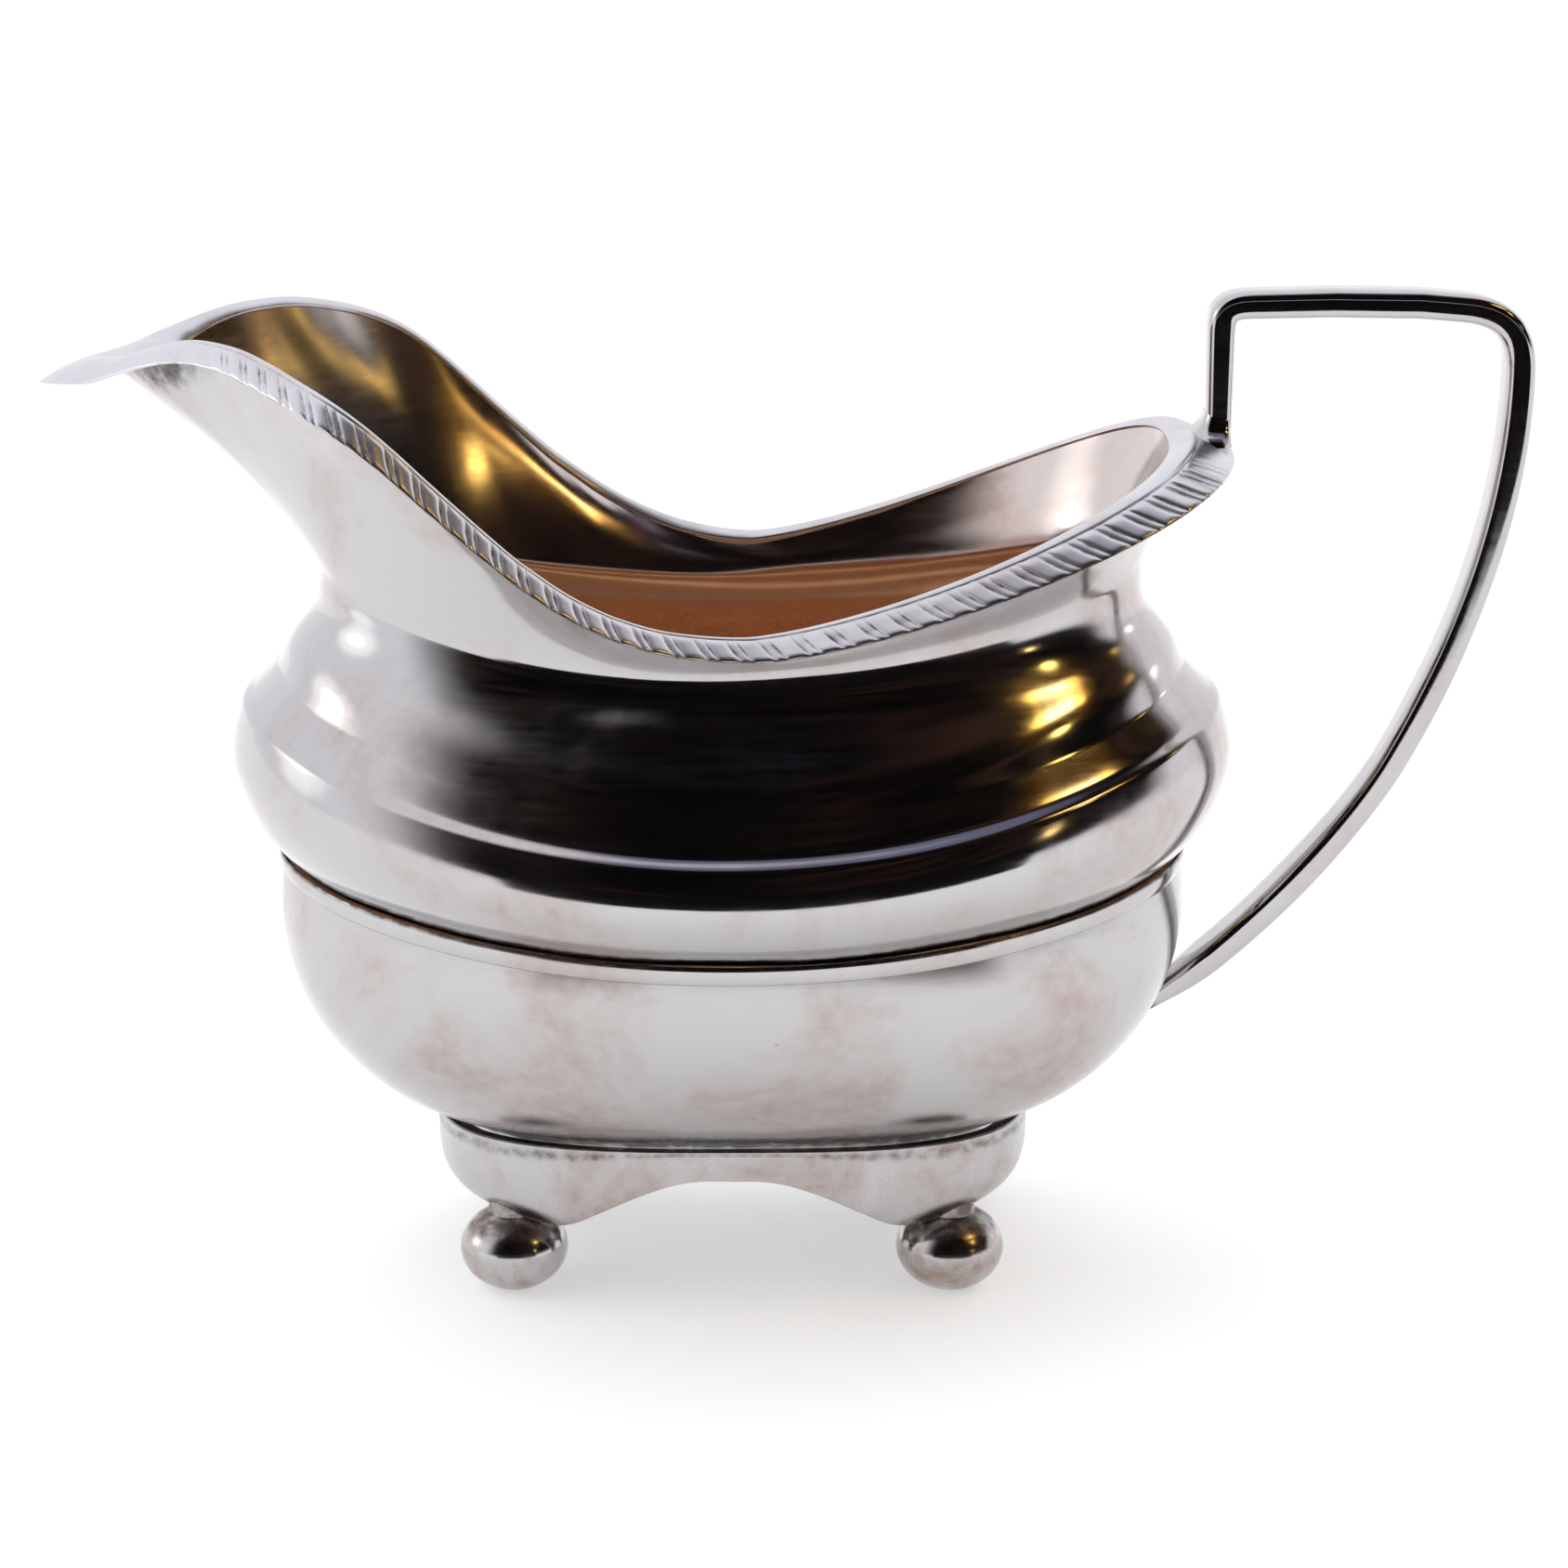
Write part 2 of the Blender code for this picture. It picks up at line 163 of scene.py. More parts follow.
def by_length(points: Array, count: int) -> Array:
    """Respaces a curve to a count of points, even in length over its first two coordinates."""
    step = np.linalg.norm(np.diff(points[:, :2], axis=0), axis=1)
    run = np.concatenate(([0.0], np.cumsum(step)))
    want = np.linspace(0.0, run[-1], count)
    return np.stack([np.interp(want, run, points[:, k]) for k in range(points.shape[1])], 1)


def closed(front: Array) -> Array:
    """Joins a near half curve, from handle end to spout, to its mirror image behind."""
    return np.concatenate((front, front[-2:0:-1] * np.array([1.0, -1.0, 1.0])))


def spline(rings: Sequence[Array], per_span: int) -> Array:
    """Carries a smooth cubic through rings: each point runs on its own Hermite curve.

    Args:
        rings: Rings with the same number of points, in order.
        per_span: Levels made for each span between two rings.

    Returns:
        Array of levels, points and coordinates.
    """
    given = np.asarray(rings)
    gap = np.linalg.norm(np.diff(given, axis=0), axis=2).mean(axis=1)
    knot = np.concatenate(([0.0], np.cumsum(gap)))
    slope = np.empty_like(given)
    slope[1:-1] = (given[2:] - given[:-2]) / (knot[2:] - knot[:-2])[:, None, None]
    slope[0] = (given[1] - given[0]) / gap[0]
    slope[-1] = (given[-1] - given[-2]) / gap[-1]
    t = np.arange(per_span)[:, None, None] / per_span
    start, end = 2 * t ** 3 - 3 * t ** 2 + 1, 3 * t ** 2 - 2 * t ** 3
    levels = []
    for k, span in enumerate(gap):
        leave = (t ** 3 - 2 * t ** 2 + t) * span
        arrive = (t ** 3 - t ** 2) * span
        levels.append(start * given[k] + leave * slope[k]
                      + end * given[k + 1] + arrive * slope[k + 1])
    return np.concatenate(levels + [given[-1:]])


def normals(points: Array, looped: bool) -> Array:
    """Unit normals of a grid whose columns close on themselves: cross of its two slopes."""
    across = np.roll(points, -1, axis=1) - np.roll(points, 1, axis=1)
    if looped:
        along = np.roll(points, -1, axis=0) - np.roll(points, 1, axis=0)
    else:
        along = np.gradient(points, axis=0)
    facing = np.cross(across, along)
    return facing / np.maximum(np.linalg.norm(facing, axis=2, keepdims=True), 1e-9)


def hand_waves(points: Array, looped: bool, depth: float, seed: int,
               still: int = 0) -> Array:
    """Slow waves that hand raising leaves in sheet metal: a sum of seeded plane sines.

    Args:
        points: Grid of points.
        looped: True if the last row joins the first.
        depth: Height of each wave in millimetres.
        seed: Seed of the wave directions.
        still: Number of first rows that stay flat.

    Returns:
        The points, moved along the surface's normals.
    """
    draw = np.random.default_rng(seed)
    height = np.zeros(points.shape[:2])
    for _ in range(WAVE_COUNT):
        way = draw.normal(size=3)
        way *= 2.0 * math.pi / draw.uniform(*WAVE_LENGTHS) / np.linalg.norm(way)
        height += depth * np.sin(points @ way + draw.uniform(0.0, 2.0 * math.pi))
    height[:still] = 0.0
    return points + normals(points, looped) * height[..., None]


# ---- meshes
@dataclass
class Skin:
    """A closed surface as a grid of points whose columns close on themselves.

    Attributes:
        points: Rows, columns and coordinates, in millimetres.
        hollow: How sheltered each point is, 0 open to 1 deep in a corner; it darkens the colour as
            sulphide tarnish and painted shade.
        looped: True if the last row joins the first, False if both ends close on a pole.
        bands: Number of the finish of each row.
        stain_and_reflection: How much orange-brown stain each point has, 0 to 1; it is partly
            painted warm reflection.
    """

    points: Array
    hollow: Array
    looped: bool
    bands: Optional[Array] = None
    stain_and_reflection: Optional[Array] = None

    def make(self, name: str, *finishes: Material) -> bpy.types.Object:
        """Turns the grid into a mesh object with its faces outwards.

        Args:
            name: Name of the object.
            *finishes: Materials in the order that the bands number them.

        Returns:
            The linked object.
        """
        rows, cols = self.points.shape[:2]
        grid = np.arange(rows * cols).reshape(rows, cols)
        below = grid if self.looped else grid[:-1]
        above = np.roll(grid, -1, axis=0) if self.looped else grid[1:]
        quads = np.stack([below, np.roll(below, -1, 1), np.roll(above, -1, 1), above], -1)
        quads = quads.reshape(-1, 4)
        bands = np.zeros(rows, int) if self.bands is None else self.bands
        finish = np.repeat(bands[:len(below)], cols)
        verts = self.points.reshape(-1, 3)
        hollow = self.hollow.reshape(-1)
        stain_and_reflection = np.zeros(rows * cols) if self.stain_and_reflection is None else self.stain_and_reflection.reshape(-1)
        fans = np.zeros((0, 3), int)
        if not self.looped:
            first, last = rows * cols, rows * cols + 1
            verts = np.concatenate((verts, [self.points[0].mean(0)], [self.points[-1].mean(0)]))
            hollow = np.append(hollow, (self.hollow[0].mean(), self.hollow[-1].mean()))
            stain_and_reflection = np.append(stain_and_reflection, (stain_and_reflection[0], stain_and_reflection[-1]))
            start = np.stack([np.roll(grid[0], -1), grid[0], np.full(cols, first)], 1)
            stop = np.stack([grid[-1], np.roll(grid[-1], -1), np.full(cols, last)], 1)
            fans = np.concatenate((start, stop))
            finish = np.concatenate((finish, np.repeat(bands[[0, -1]], cols)))
        corner = verts[np.concatenate((quads[:, :3], quads[:, [0, 2, 3]], fans))]
        volume = np.einsum("ij,ij->i", corner[:, 0], np.cross(corner[:, 1], corner[:, 2])).sum()
        if volume < 0:
            quads, fans = quads[:, ::-1], fans[:, ::-1]
        mesh = bpy.data.meshes.new(name)
        verts = (verts + np.array([Shift.x, 0.0, 0.0])) * MM
        mesh.from_pydata(verts.tolist(), [], quads.tolist() + fans.tolist())
        for material in finishes:
            mesh.materials.append(material)
        mesh.polygons.foreach_set("material_index", finish.astype(np.int32))
        mesh.polygons.foreach_set("use_smooth", np.ones(len(mesh.polygons), bool))
        for label, values in (("hollow", hollow), ("stain_and_reflection", stain_and_reflection)):
            layer = mesh.attributes.new(label, "FLOAT", "POINT")
            layer.data.foreach_set("value", values.astype(np.float32))
        mesh.set_sharp_from_angle(angle=math.radians(SHARP_ANGLE))
        mesh.update()
        piece = bpy.data.objects.new(name, mesh)
        bpy.context.scene.collection.objects.link(piece)
        return piece


class Shift:
    """Where the body's middle stands in the CAD frame, in millimetres."""

    x: float = float(sum(corner.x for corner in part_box("girdle_moulding"))) / 2.0 / MM


def place(piece: bpy.types.Object, slot: str, *nodes: str) -> None:
    """Rides a piece on the jug and lets it stand for CAD nodes.

    Args:
        piece: The finished piece.
        slot: Not used.
        *nodes: CAD nodes that the piece replaces.
    """
    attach(piece, "root")
    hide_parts(*nodes)
    log.info("%s: %d faces", piece.name, len(piece.data.polygons))


# ---- finishes
@dataclass(frozen=True)
class SilverFinish:
    """Sterling silver, raised or cast, hand polished and a little tarnished.

    It gives the eye soft-edged reflections, thin pinkish-brown clouds of tarnish,
    dark specks, black-brown sulphide in corners that also stands in for painted shade
    there, and, where the lining is marked, an orange-brown stain that also paints warm
    light reflected round the inside. Each band is the part of a noise or shelter over
    which a mark grows, and each swing what it grows from and to.
    """

    name: str
    clean: str = "#BDBCBD"
    film: str = "#AFA09C"
    # Orange-brown of the lining's stain, which also paints warm light reflected round the inside.
    stain_and_reflection: str = "#B4713A"
    # Black-brown of corner sulphide, which also serves as painted shade in corners and under edges.
    sulphide_and_shade: str = "#241A14"
    speck: str = "#4A3A30"
    film_amount: float = 0.75
    sulphide_and_shade_amount: float = 0.85
    speck_amount: float = 0.5
    roughness: float = 0.10
    film_roughness: float = 0.10
    corner_roughness: float = 0.25
    cloud_mm: float = 15.0
    mottle_mm: float = 1.7
    speck_mm: float = 1.3
    polish_mm: float = 0.4
    planish_mm: float = 6.0
    planish_depth_mm: float = 0.03
    grain_depth_mm: float = 0.0004
    stain_reflection_matt: float = 0.0
    cloud_band: Pair = (0.38, 0.70)
    mottle_band: Pair = (0.32, 0.72)
    mottle_swing: Pair = (0.5, 1.3)
    speck_band: Pair = (0.80, 0.86)
    corner_band: Pair = (0.12, 0.95)
    polish_band: Pair = (0.3, 0.7)
    polish_swing: Pair = (-0.02, 0.03)
    polish_stretch: Triple = (0.05, 0.05, 1.0)

    def make(self) -> Material:
        """Builds the material: clouds and mottle choose the film, corners the sulphide and painted
        shade.

        Returns:
            The finished material.
        """
        material = bpy.data.materials.new(self.name)
        material.use_nodes = True
        tree = material.node_tree
        shader = tree.nodes["Principled BSDF"]
        spot = add_node(tree, "TexCoord").outputs["Object"]
        at = add_node(tree, "Mapping", {}, {"Vector": spot, "Scale": (1 / MM,) * 3}).outputs[0]

        cloud = noise(tree, at, self.cloud_mm, detail=6.0, roughness=0.62, distortion=0.5)
        cloud = ramp(tree, cloud, self.cloud_band, (0.0, self.film_amount))
        mottle = noise(tree, at, self.mottle_mm, detail=4.0, roughness=0.6)
        mottle = ramp(tree, mottle, self.mottle_band, self.mottle_swing, eased=False)
        film = calc(tree, "MULTIPLY", cloud, mottle, clamp=True)
        colour = blend(tree, film, linear(self.clean), linear(self.film))

        dust = noise(tree, at, self.speck_mm, detail=1.0, roughness=0.4)
        dust = ramp(tree, dust, self.speck_band, (0.0, self.speck_amount))
        colour = blend(tree, dust, colour, linear(self.speck))

        # Orange-brown stain and painted warm reflection, where the stain attribute is set.
        stain_reflection_fac = add_node(tree, "Attribute", {"attribute_name": "stain_and_reflection"}).outputs["Fac"]
        stain_reflection_part = calc(tree, "MULTIPLY", stain_reflection_fac, mottle, clamp=True)
        colour = blend(tree, stain_reflection_part, colour, linear(self.stain_and_reflection))

        # Sulphide colour where the hollow attribute is high: tarnish in corners, and painted shade
        # there too.
        corner = add_node(tree, "Attribute", {"attribute_name": "hollow"}).outputs["Fac"]
        corner = ramp(tree, calc(tree, "MULTIPLY", corner, mottle), self.corner_band,
                      (0.0, self.sulphide_and_shade_amount))
        colour = blend(tree, corner, colour, linear(self.sulphide_and_shade))
        tree.links.new(colour, shader.inputs["Base Color"])

        lines = add_node(tree, "Mapping", {}, {"Vector": at, "Scale": self.polish_stretch})
        polish = noise(tree, lines.outputs[0], self.polish_mm, detail=3.0, roughness=0.7)
        swing = tuple(self.roughness + part for part in self.polish_swing)
        dull = ramp(tree, polish, self.polish_band, swing, eased=False)
        dull = calc(tree, "MULTIPLY_ADD", film, self.film_roughness, dull)
        dull = calc(tree, "MULTIPLY_ADD", corner, self.corner_roughness, dull)
        tree.links.new(dull, shader.inputs["Roughness"])

        planish = noise(tree, at, self.planish_mm, detail=1.0)
        waves = add_node(tree, "Bump", {}, {
            "Height": planish, "Distance": self.planish_depth_mm * MM}).outputs[0]
        grain = add_node(tree, "Bump", {}, {
            "Height": polish, "Distance": self.grain_depth_mm * MM, "Normal": waves}).outputs[0]
        tree.links.new(grain, shader.inputs["Normal"])
        # The stained places turn partly matt, so the painted warm reflection shows where little
        # light reaches.
        if self.stain_reflection_matt:
            metal_share = calc(tree, "MULTIPLY_ADD", stain_reflection_part, -self.stain_reflection_matt, 1.0)
            tree.links.new(metal_share, shader.inputs["Metallic"])
        else:
            shader.inputs["Metallic"].default_value = 1.0
        return material


@dataclass(frozen=True)
class MattFinish:
    """Paper or cloth without any shine, which may give a little light of its own."""

    name: str
    colour: str
    own_light: float = 0.0

    def make(self) -> Material:
        """Builds the plain material."""
        material = bpy.data.materials.new(self.name)
        material.use_nodes = True
        shader = material.node_tree.nodes["Principled BSDF"]
        for key, value in (("Base Color", linear(self.colour)), ("Roughness", 1.0),
                           ("Specular IOR Level", 0.0), ("Emission Color", linear("#FFFFFF")),
                           ("Emission Strength", self.own_light)):
            shader.inputs[key].default_value = value
        return material


# White paper softly lit from below, so that only faint shadows show on it.
PAPER = MattFinish("matt_white_studio_paper", "#D2D2D2", 0.42)
# Black flannel: soaks up light, and shows only as the dark band in polished metal.
FLANNEL = MattFinish("black_flannel", "#0C0A0A")


# ---- shared curves
@dataclass(frozen=True)
class Level:
    """A level line: half length and depth, height at the middle, lift of the ends, power."""

    length: float
    depth: float
    mid: float
    lift: float = 0.0
    power: float = 2.4

    def ring(self, count: int, grow: float = 0.0) -> Array:
        """A rounded oblong: the superellipse |x/a|^p + |y/b|^p = 1, lifted by (x/a) squared.

        Args:
            count: Points on the near half.
            grow: How much the half sizes grow, in millimetres.

        Returns:
            Closed ring of points.
        """
        u, v = squared_round(np.linspace(0.0, math.pi, FINE), self.power)
        v[[0, -1]] = 0.0
        x, y = (self.length + grow) * u, -(self.depth + grow) * v
        return closed(by_length(np.stack([x, y, self.mid + self.lift * u ** 2], 1), count))


@dataclass(frozen=True)
class Mouth:
    """The jug's open mouth: a leaf-shaped spout, low sides and a raised heel at the handle.

    The front is a smooth curve through listed stations: x of the outer edge, its
    half width, its height, and how far the inner edge lies behind it and inside it.
    The side gives x and height of the outer edge between the spout and its lowest place.
    """

    front: tuple[tuple[float, ...], ...] = (
        (-64.7, 0, 87.8, 11, 0), (-63.6, 2, 88, 10.4, 0.4), (-60, 5.4, 88.5, 8, 0.9),
        (-57, 7.4, 89.3, 6.2, 1.1), (-54, 9.6, 89.9, 4.8, 1.2), (-51, 12.1, 90.2, 3.8, 1.3),
        (-48, 15.2, 90.2, 3.2, 1.4), (-45, 18.4, 90, 2.6, 1.8), (-42, 21.8, 89.3, 2.3, 2.1),
        (-39, 25, 88.3, 2, 2.4), (-36, 27.2, 87, 1.7, 2.7), (-33, 28.5, 85.3, 1.3, 3),
        (-30, 29.1, 83.1, 0.9, 3.3), (-27, 29.3, 80.45, 0.7, 3.4), (-24, 29.4, 77.8, 0.5, 3.5),
        (-21, 29.4, 75.2, 0.3, 3.5), (-18.5, 29.4, 73.15, 0.1, 3.5), (-16, 29.4, 71.35, 0, 3.5),
    )
    side: tuple[Pair, ...] = (
        (-21.0, 75.2), (-18.5, 73.15), (-16.0, 71.35), (-13.0, 69.5), (-9.0, 67.6), (-4.0, 66.1),
        (3.0, 65.4), (10.0, 66.2), (18.0, 67.9),
    )
    front_span: int = 80
    side_span: int = 12
    low: float = 65.4
    low_x: float = 3.0
    heel_x: float = 46.9
    heel_rise: float = 14.6
    heel_power: float = 1.4
    half: float = 29.4
    half_back: float = 26.2
    wide_x: float = -16.0
    ease: float = 20.0
    back_power: int = 6
    back_round: float = 0.4
    border: float = 3.5
    border_heel: float = 6.0
    leaf_band: Pair = (-47.0, -13.0)

    def height(self, x: Array) -> Array:
        """Height of the outer edge behind the spout, rising from its lowest place to the heel."""
        knots = np.array([(a, 0.0, b) for a, b in self.side])[:, None]
        curve = spline(knots, self.side_span)[:, 0]
        heel = np.clip((x - self.low_x) / (self.heel_x - self.low_x), 0.0, None)
        return np.where(x < self.low_x, np.interp(x, curve[:, 0], curve[:, 2]),
                        self.low + heel ** self.heel_power * self.heel_rise)

    def leaf(self, x: Array) -> Array:
        """How far the border has flattened into the spout's leaf, 0 to 1."""
        return smooth(x, *self.leaf_band)

    def plan(self, part: float) -> Array:
        """Near half of the mouth in plan, from the heel to the spout's tip.

        Behind the widest place, t from it to the heel, the half width follows
        (1 - t^6)^0.4; ahead of it the line runs through the front stations.

        Args:
            part: 0 for the border's outer edge, 1 for its inner edge.

        Returns:
            Points along the line, not yet respaced, at the outer edge's height.
        """
        back = np.sin(np.linspace(0.5 * math.pi, 0.0, FINE))
        x = self.wide_x + (self.heel_x - self.border_heel * part - self.wide_x) * back
        eased = smooth(x, self.wide_x, self.ease)
        half = self.half + (self.half_back - self.half) * eased - self.border * part
        width = half * np.clip(1.0 - back ** self.back_power, 0.0, 1.0) ** self.back_round
        outer_x = self.wide_x + (self.heel_x - self.wide_x) * back
        behind = np.stack([x, -width, self.height(outer_x)], 1)
        x, half, z, along, inward = np.asarray(self.front)[::-1].T
        ahead = np.stack([x + part * along, part * inward - half, z], 1)
        points = np.concatenate((behind, spline(ahead[:, None], self.front_span)[1:, 0]))
        points[[0, -1], 1] = 0.0
        return points


@dataclass(frozen=True)
class BodyLines:
    """Level lines shared by the parts of the body, from the base up, and the wall's sizes."""

    base: Level = Level(27.6, 18.0, 16.25, 0.0, 3.0)
    base_low: Level = Level(36.5, 25.0, 19.4, 0.2, 2.8)
    belly: Level = Level(45.7, 30.9, 25.6, 1.4, 2.3)
    girdle: Level = Level(43.0, 29.8, 37.5, 3.6, 2.05)
    bulge_low: Level = Level(46.1, 32.6, 40.4, 5.2, 2.1)
    bulge: Level = Level(47.6, 34.0, 43.7, 7.3, 2.15)
    bulge_high: Level = Level(46.5, 33.0, 47.2, 8.8, 2.2)
    crest: Level = Level(45.3, 31.92, 48.3, 8.8, 2.2)
    groove: Level = Level(42.9, 30.4, 50.8, 8.7, 2.2)
    roll: Level = Level(41.7, 28.7, 53.4, 8.6, 2.25)
    neck_low: Level = Level(39.3, 25.8, 57.0, 8.1, 2.3)
    neck: Level = Level(38.8, 23.5, 60.1, 7.2)
    neck_top: Level = Level(39.0, 22.9, 62.4, 7.5)
    wall: float = 0.8
    shell_in: float = 0.55
    lining_in: float = 0.97
    half_joint: float = 0.15

    def joint(self, way: float) -> Level:
        """Edge of the upper body (way 1) or of the bowl (way -1) at the girdle's joint."""
        return replace(self.girdle, mid=self.girdle.mid + way * self.half_joint)


LINES = BodyLines()
MOUTH = Mouth()


# ---- the body
@dataclass
class UpperBody:
    """Raised sheet from the girdle to the mouth: bulge, groove, rolled shoulder and flared neck.

    Sulphide tarnish and painted shade lie in bell curves over the rows of the outer face, counted
    from the joint, or back from the rim for the band under the rim and for the painted shadow
    under the leaf, which also fades along x.
    """

    outside: Material
    inside: Material
    half_count: int = 190
    bulge_span: int = 12
    neck_span: int = 11
    waves: tuple[float, int] = (0.014, 5)
    half_way: Triple = (0.46, 0.46, 0.52)
    tuck: float = 0.15
    lip_lift: float = 0.12
    leaf_tuck: float = 0.55
    leaf_lead: float = 6.0
    # Darker bands at the groove, at the joint and under the rim: tarnish and painted shade.
    groove_tarnish_and_shade: Bell = (0.22, 60.0, 2.5)
    joint_tarnish_and_shade: Bell = (0.4, 0.0, 2.5)
    rim_dirt: Bell = (0.6, 0.0, 2.5)
    # Painted shadow under the leaf of the spout, where the lip overhangs the neck, fading along x.
    crease: Bell = (0.8, -3.0, 2.2)
    crease_along: Bell = (1.0, -51.5, 3.4)
    stain_and_reflection_band: Pair = (63.0, -12.0)

    def wall(self, grow: float, mouth_part: float) -> Array:
        """One face of the wall: two smooth cubics, meeting in the groove, through the level lines.

        Args:
            grow: Offset of the level lines, 0 outside and minus the wall inside.
            mouth_part: Where this face meets the border, across the border's width.

        Returns:
            Levels from the girdle up to the mouth.
        """
        bulge = [level.ring(self.half_count, grow) for level in
                 (LINES.joint(1.0), LINES.bulge_low, LINES.bulge, LINES.bulge_high, LINES.crest,
                  LINES.groove)]
        neck = [level.ring(self.half_count, grow) for level in
                (LINES.groove, LINES.roll, LINES.neck_low, LINES.neck, LINES.neck_top)]
        mouth = closed(by_length(MOUTH.plan(mouth_part), self.half_count))
        if grow == 0.0:
            mouth[:, 2] -= self.tuck
        else:
            leaf = MOUTH.leaf(mouth[:, 0] - self.leaf_lead)
            mouth[:, 2] -= self.leaf_tuck * leaf - self.lip_lift
        between = neck[-1] + (mouth - neck[-1]) * np.array(self.half_way)
        upper = spline(neck + [between, mouth], self.neck_span)
        return np.concatenate((spline(bulge, self.bulge_span), upper[1:]))

    def build(self) -> None:
        """Joins the outer and inner faces into one closed wall and waves it slightly."""
        outer = self.wall(0.0, LINES.shell_in)
        inner = self.wall(-LINES.wall, LINES.lining_in)[::-1]
        points = np.concatenate((outer, inner))
        points = hand_waves(points, True, *self.waves)
        rim = len(outer)
        row = np.arange(rim)[:, None]
        hollow = np.zeros(points.shape[:2])
        hollow[:rim] = bells(row, self.groove_tarnish_and_shade, self.joint_tarnish_and_shade)
        hollow[:rim] += bells(row - rim, self.rim_dirt)
        # Painted shadow under the leaf.
        hollow[:rim] += bells(row - rim, self.crease) * bells(outer[:, :, 0], self.crease_along)
        bands = (np.arange(len(points)) >= rim - 1).astype(int)
        bands[-1] = 0
        stain_and_reflection = np.zeros(points.shape[:2])
        # Lining grows orange-brown from z 63 down to z 51: stain and painted warm reflection.
        stain_and_reflection[rim:] = STAIN_AND_REFLECTION * smooth(inner[:, :, 2], *self.stain_and_reflection_band)
        skin = Skin(points, hollow, True, bands, stain_and_reflection)
        place(skin.make("upper_body_wall", self.outside, self.inside), "upper_body", "upper_body")


@dataclass
class LowerBowl:
    """Raised sheet bowl below the girdle, closed by a flat bottom on the skirt."""

    outside: Material
    inside: Material
    half_count: int = 170
    rows: int = 90
    floor_z: float = 15.2
    floor_in: float = 1.0
    under_shares: tuple[float, ...] = (0.15, 0.5, 0.85, 1.0)
    pan_shares: tuple[float, ...] = (0.97, 0.8, 0.5, 0.15)
    waves: tuple[float, int] = (0.02, 9)
    still_rows: int = 3
    # Darker low on the bowl by the skirt and just under the girdle wire: brown tarnish and painted
    # shade.
    foot_tarnish_and_shade: tuple[Bell, ...] = ((0.3, 0.0, 0.8), (0.9, 0.0, 2.6))
    joint_tarnish_and_shade: Bell = (0.3, 0.0, 1.6)

    def wall(self, grow: float) -> Array:
        """One face of the bowl: a cubic Bezier curve through four level lines."""
        a, b, c, d = (level.ring(self.half_count, grow)
                      for level in (LINES.base, LINES.base_low, LINES.belly, LINES.joint(-1.0)))
        t = np.linspace(0.0, 1.0, self.rows)[:, None, None]
        return a * (1 - t) ** 3 + 3 * b * t * (1 - t) ** 2 + 3 * c * t ** 2 * (1 - t) + d * t ** 3

    def build(self) -> None:
        """Runs from the middle of the underside out, up the outer face and back down inside."""
        outer = self.wall(0.0)
        inner = self.wall(-LINES.wall)
        inner[:, :, 2] += LINES.wall * np.linspace(1.0, 0.0, self.rows)[:, None] ** 2
        foot = replace(LINES.base, mid=self.floor_z).ring(self.half_count, -self.floor_in)
        under = [foot * np.array([share, share, 1.0]) for share in self.under_shares]
        pan = [inner[0] * np.array([share, share, 1.0]) for share in self.pan_shares]
        points = np.concatenate((under, outer, inner[::-1], pan))
        start = len(under)
        points = hand_waves(points, False, *self.waves, start + self.still_rows)
        low = outer[:, :1, 2] - outer[0, 0, 2]
        top = outer[-1, :1, 2] - outer[:, :1, 2]
        hollow = np.zeros(points.shape[:2])
        hollow[start:start + self.rows] = bells(low, *self.foot_tarnish_and_shade) + bells(top, self.joint_tarnish_and_shade)
        bands = (np.arange(len(points)) >= start + self.rows - 1).astype(int)
        # The bowl's whole lining takes the orange-brown stain, partly painted warm reflection.
        stain_and_reflection = np.repeat(STAIN_AND_REFLECTION * bands[:, None], points.shape[1], 1)
        skin = Skin(points, hollow, False, bands, stain_and_reflection)
        place(skin.make("lower_bowl_wall", self.outside, self.inside), "lower_bowl", "lower_bowl")


@dataclass
class GirdleMoulding:
    """Half-round wire soldered over the joint between bowl and upper body."""

    metal: Material
    half_count: int = 190
    rows: int = 24
    drop: float = 0.7
    half_high: float = 0.95
    stand_off: float = 0.32
    seat_low: float = 0.15
    seat_high: float = 0.4
    # Upper side of the wire darker, under the overhanging bulge: tarnish and painted shade.
    dirt: float = 1.9
    tarnish_and_shade_from: float = 0.5

    def build(self) -> None:
        """Carries a half circle on a leaning seat round the girdle's level line."""
        turn = np.linspace(-0.5 * math.pi, 0.5 * math.pi, self.rows)
        loops = []
        for up, out in zip(np.sin(turn).tolist(), np.cos(turn).tolist()):
            seat = self.seat_low + (self.seat_high - self.seat_low) * (0.5 + 0.5 * up)
            level = replace(LINES.girdle, mid=LINES.girdle.mid - self.drop + self.half_high * up)
            loops.append(level.ring(self.half_count, seat + self.stand_off * out))
        points = np.asarray(loops)
        hollow = self.dirt * np.clip(np.sin(turn) - self.tarnish_and_shade_from, 0.0, None)
        skin = Skin(points, np.repeat(hollow[:, None], points.shape[1], 1), True)
        place(skin.make("girdle_wire", self.metal), "girdle_moulding", "girdle_moulding")


# ---- the gadrooned border
class Side(Enum):
    """Which side of the jug a piece is on, as the sign of its mirroring."""

    NEAR = 1.0
    FAR = -1.0


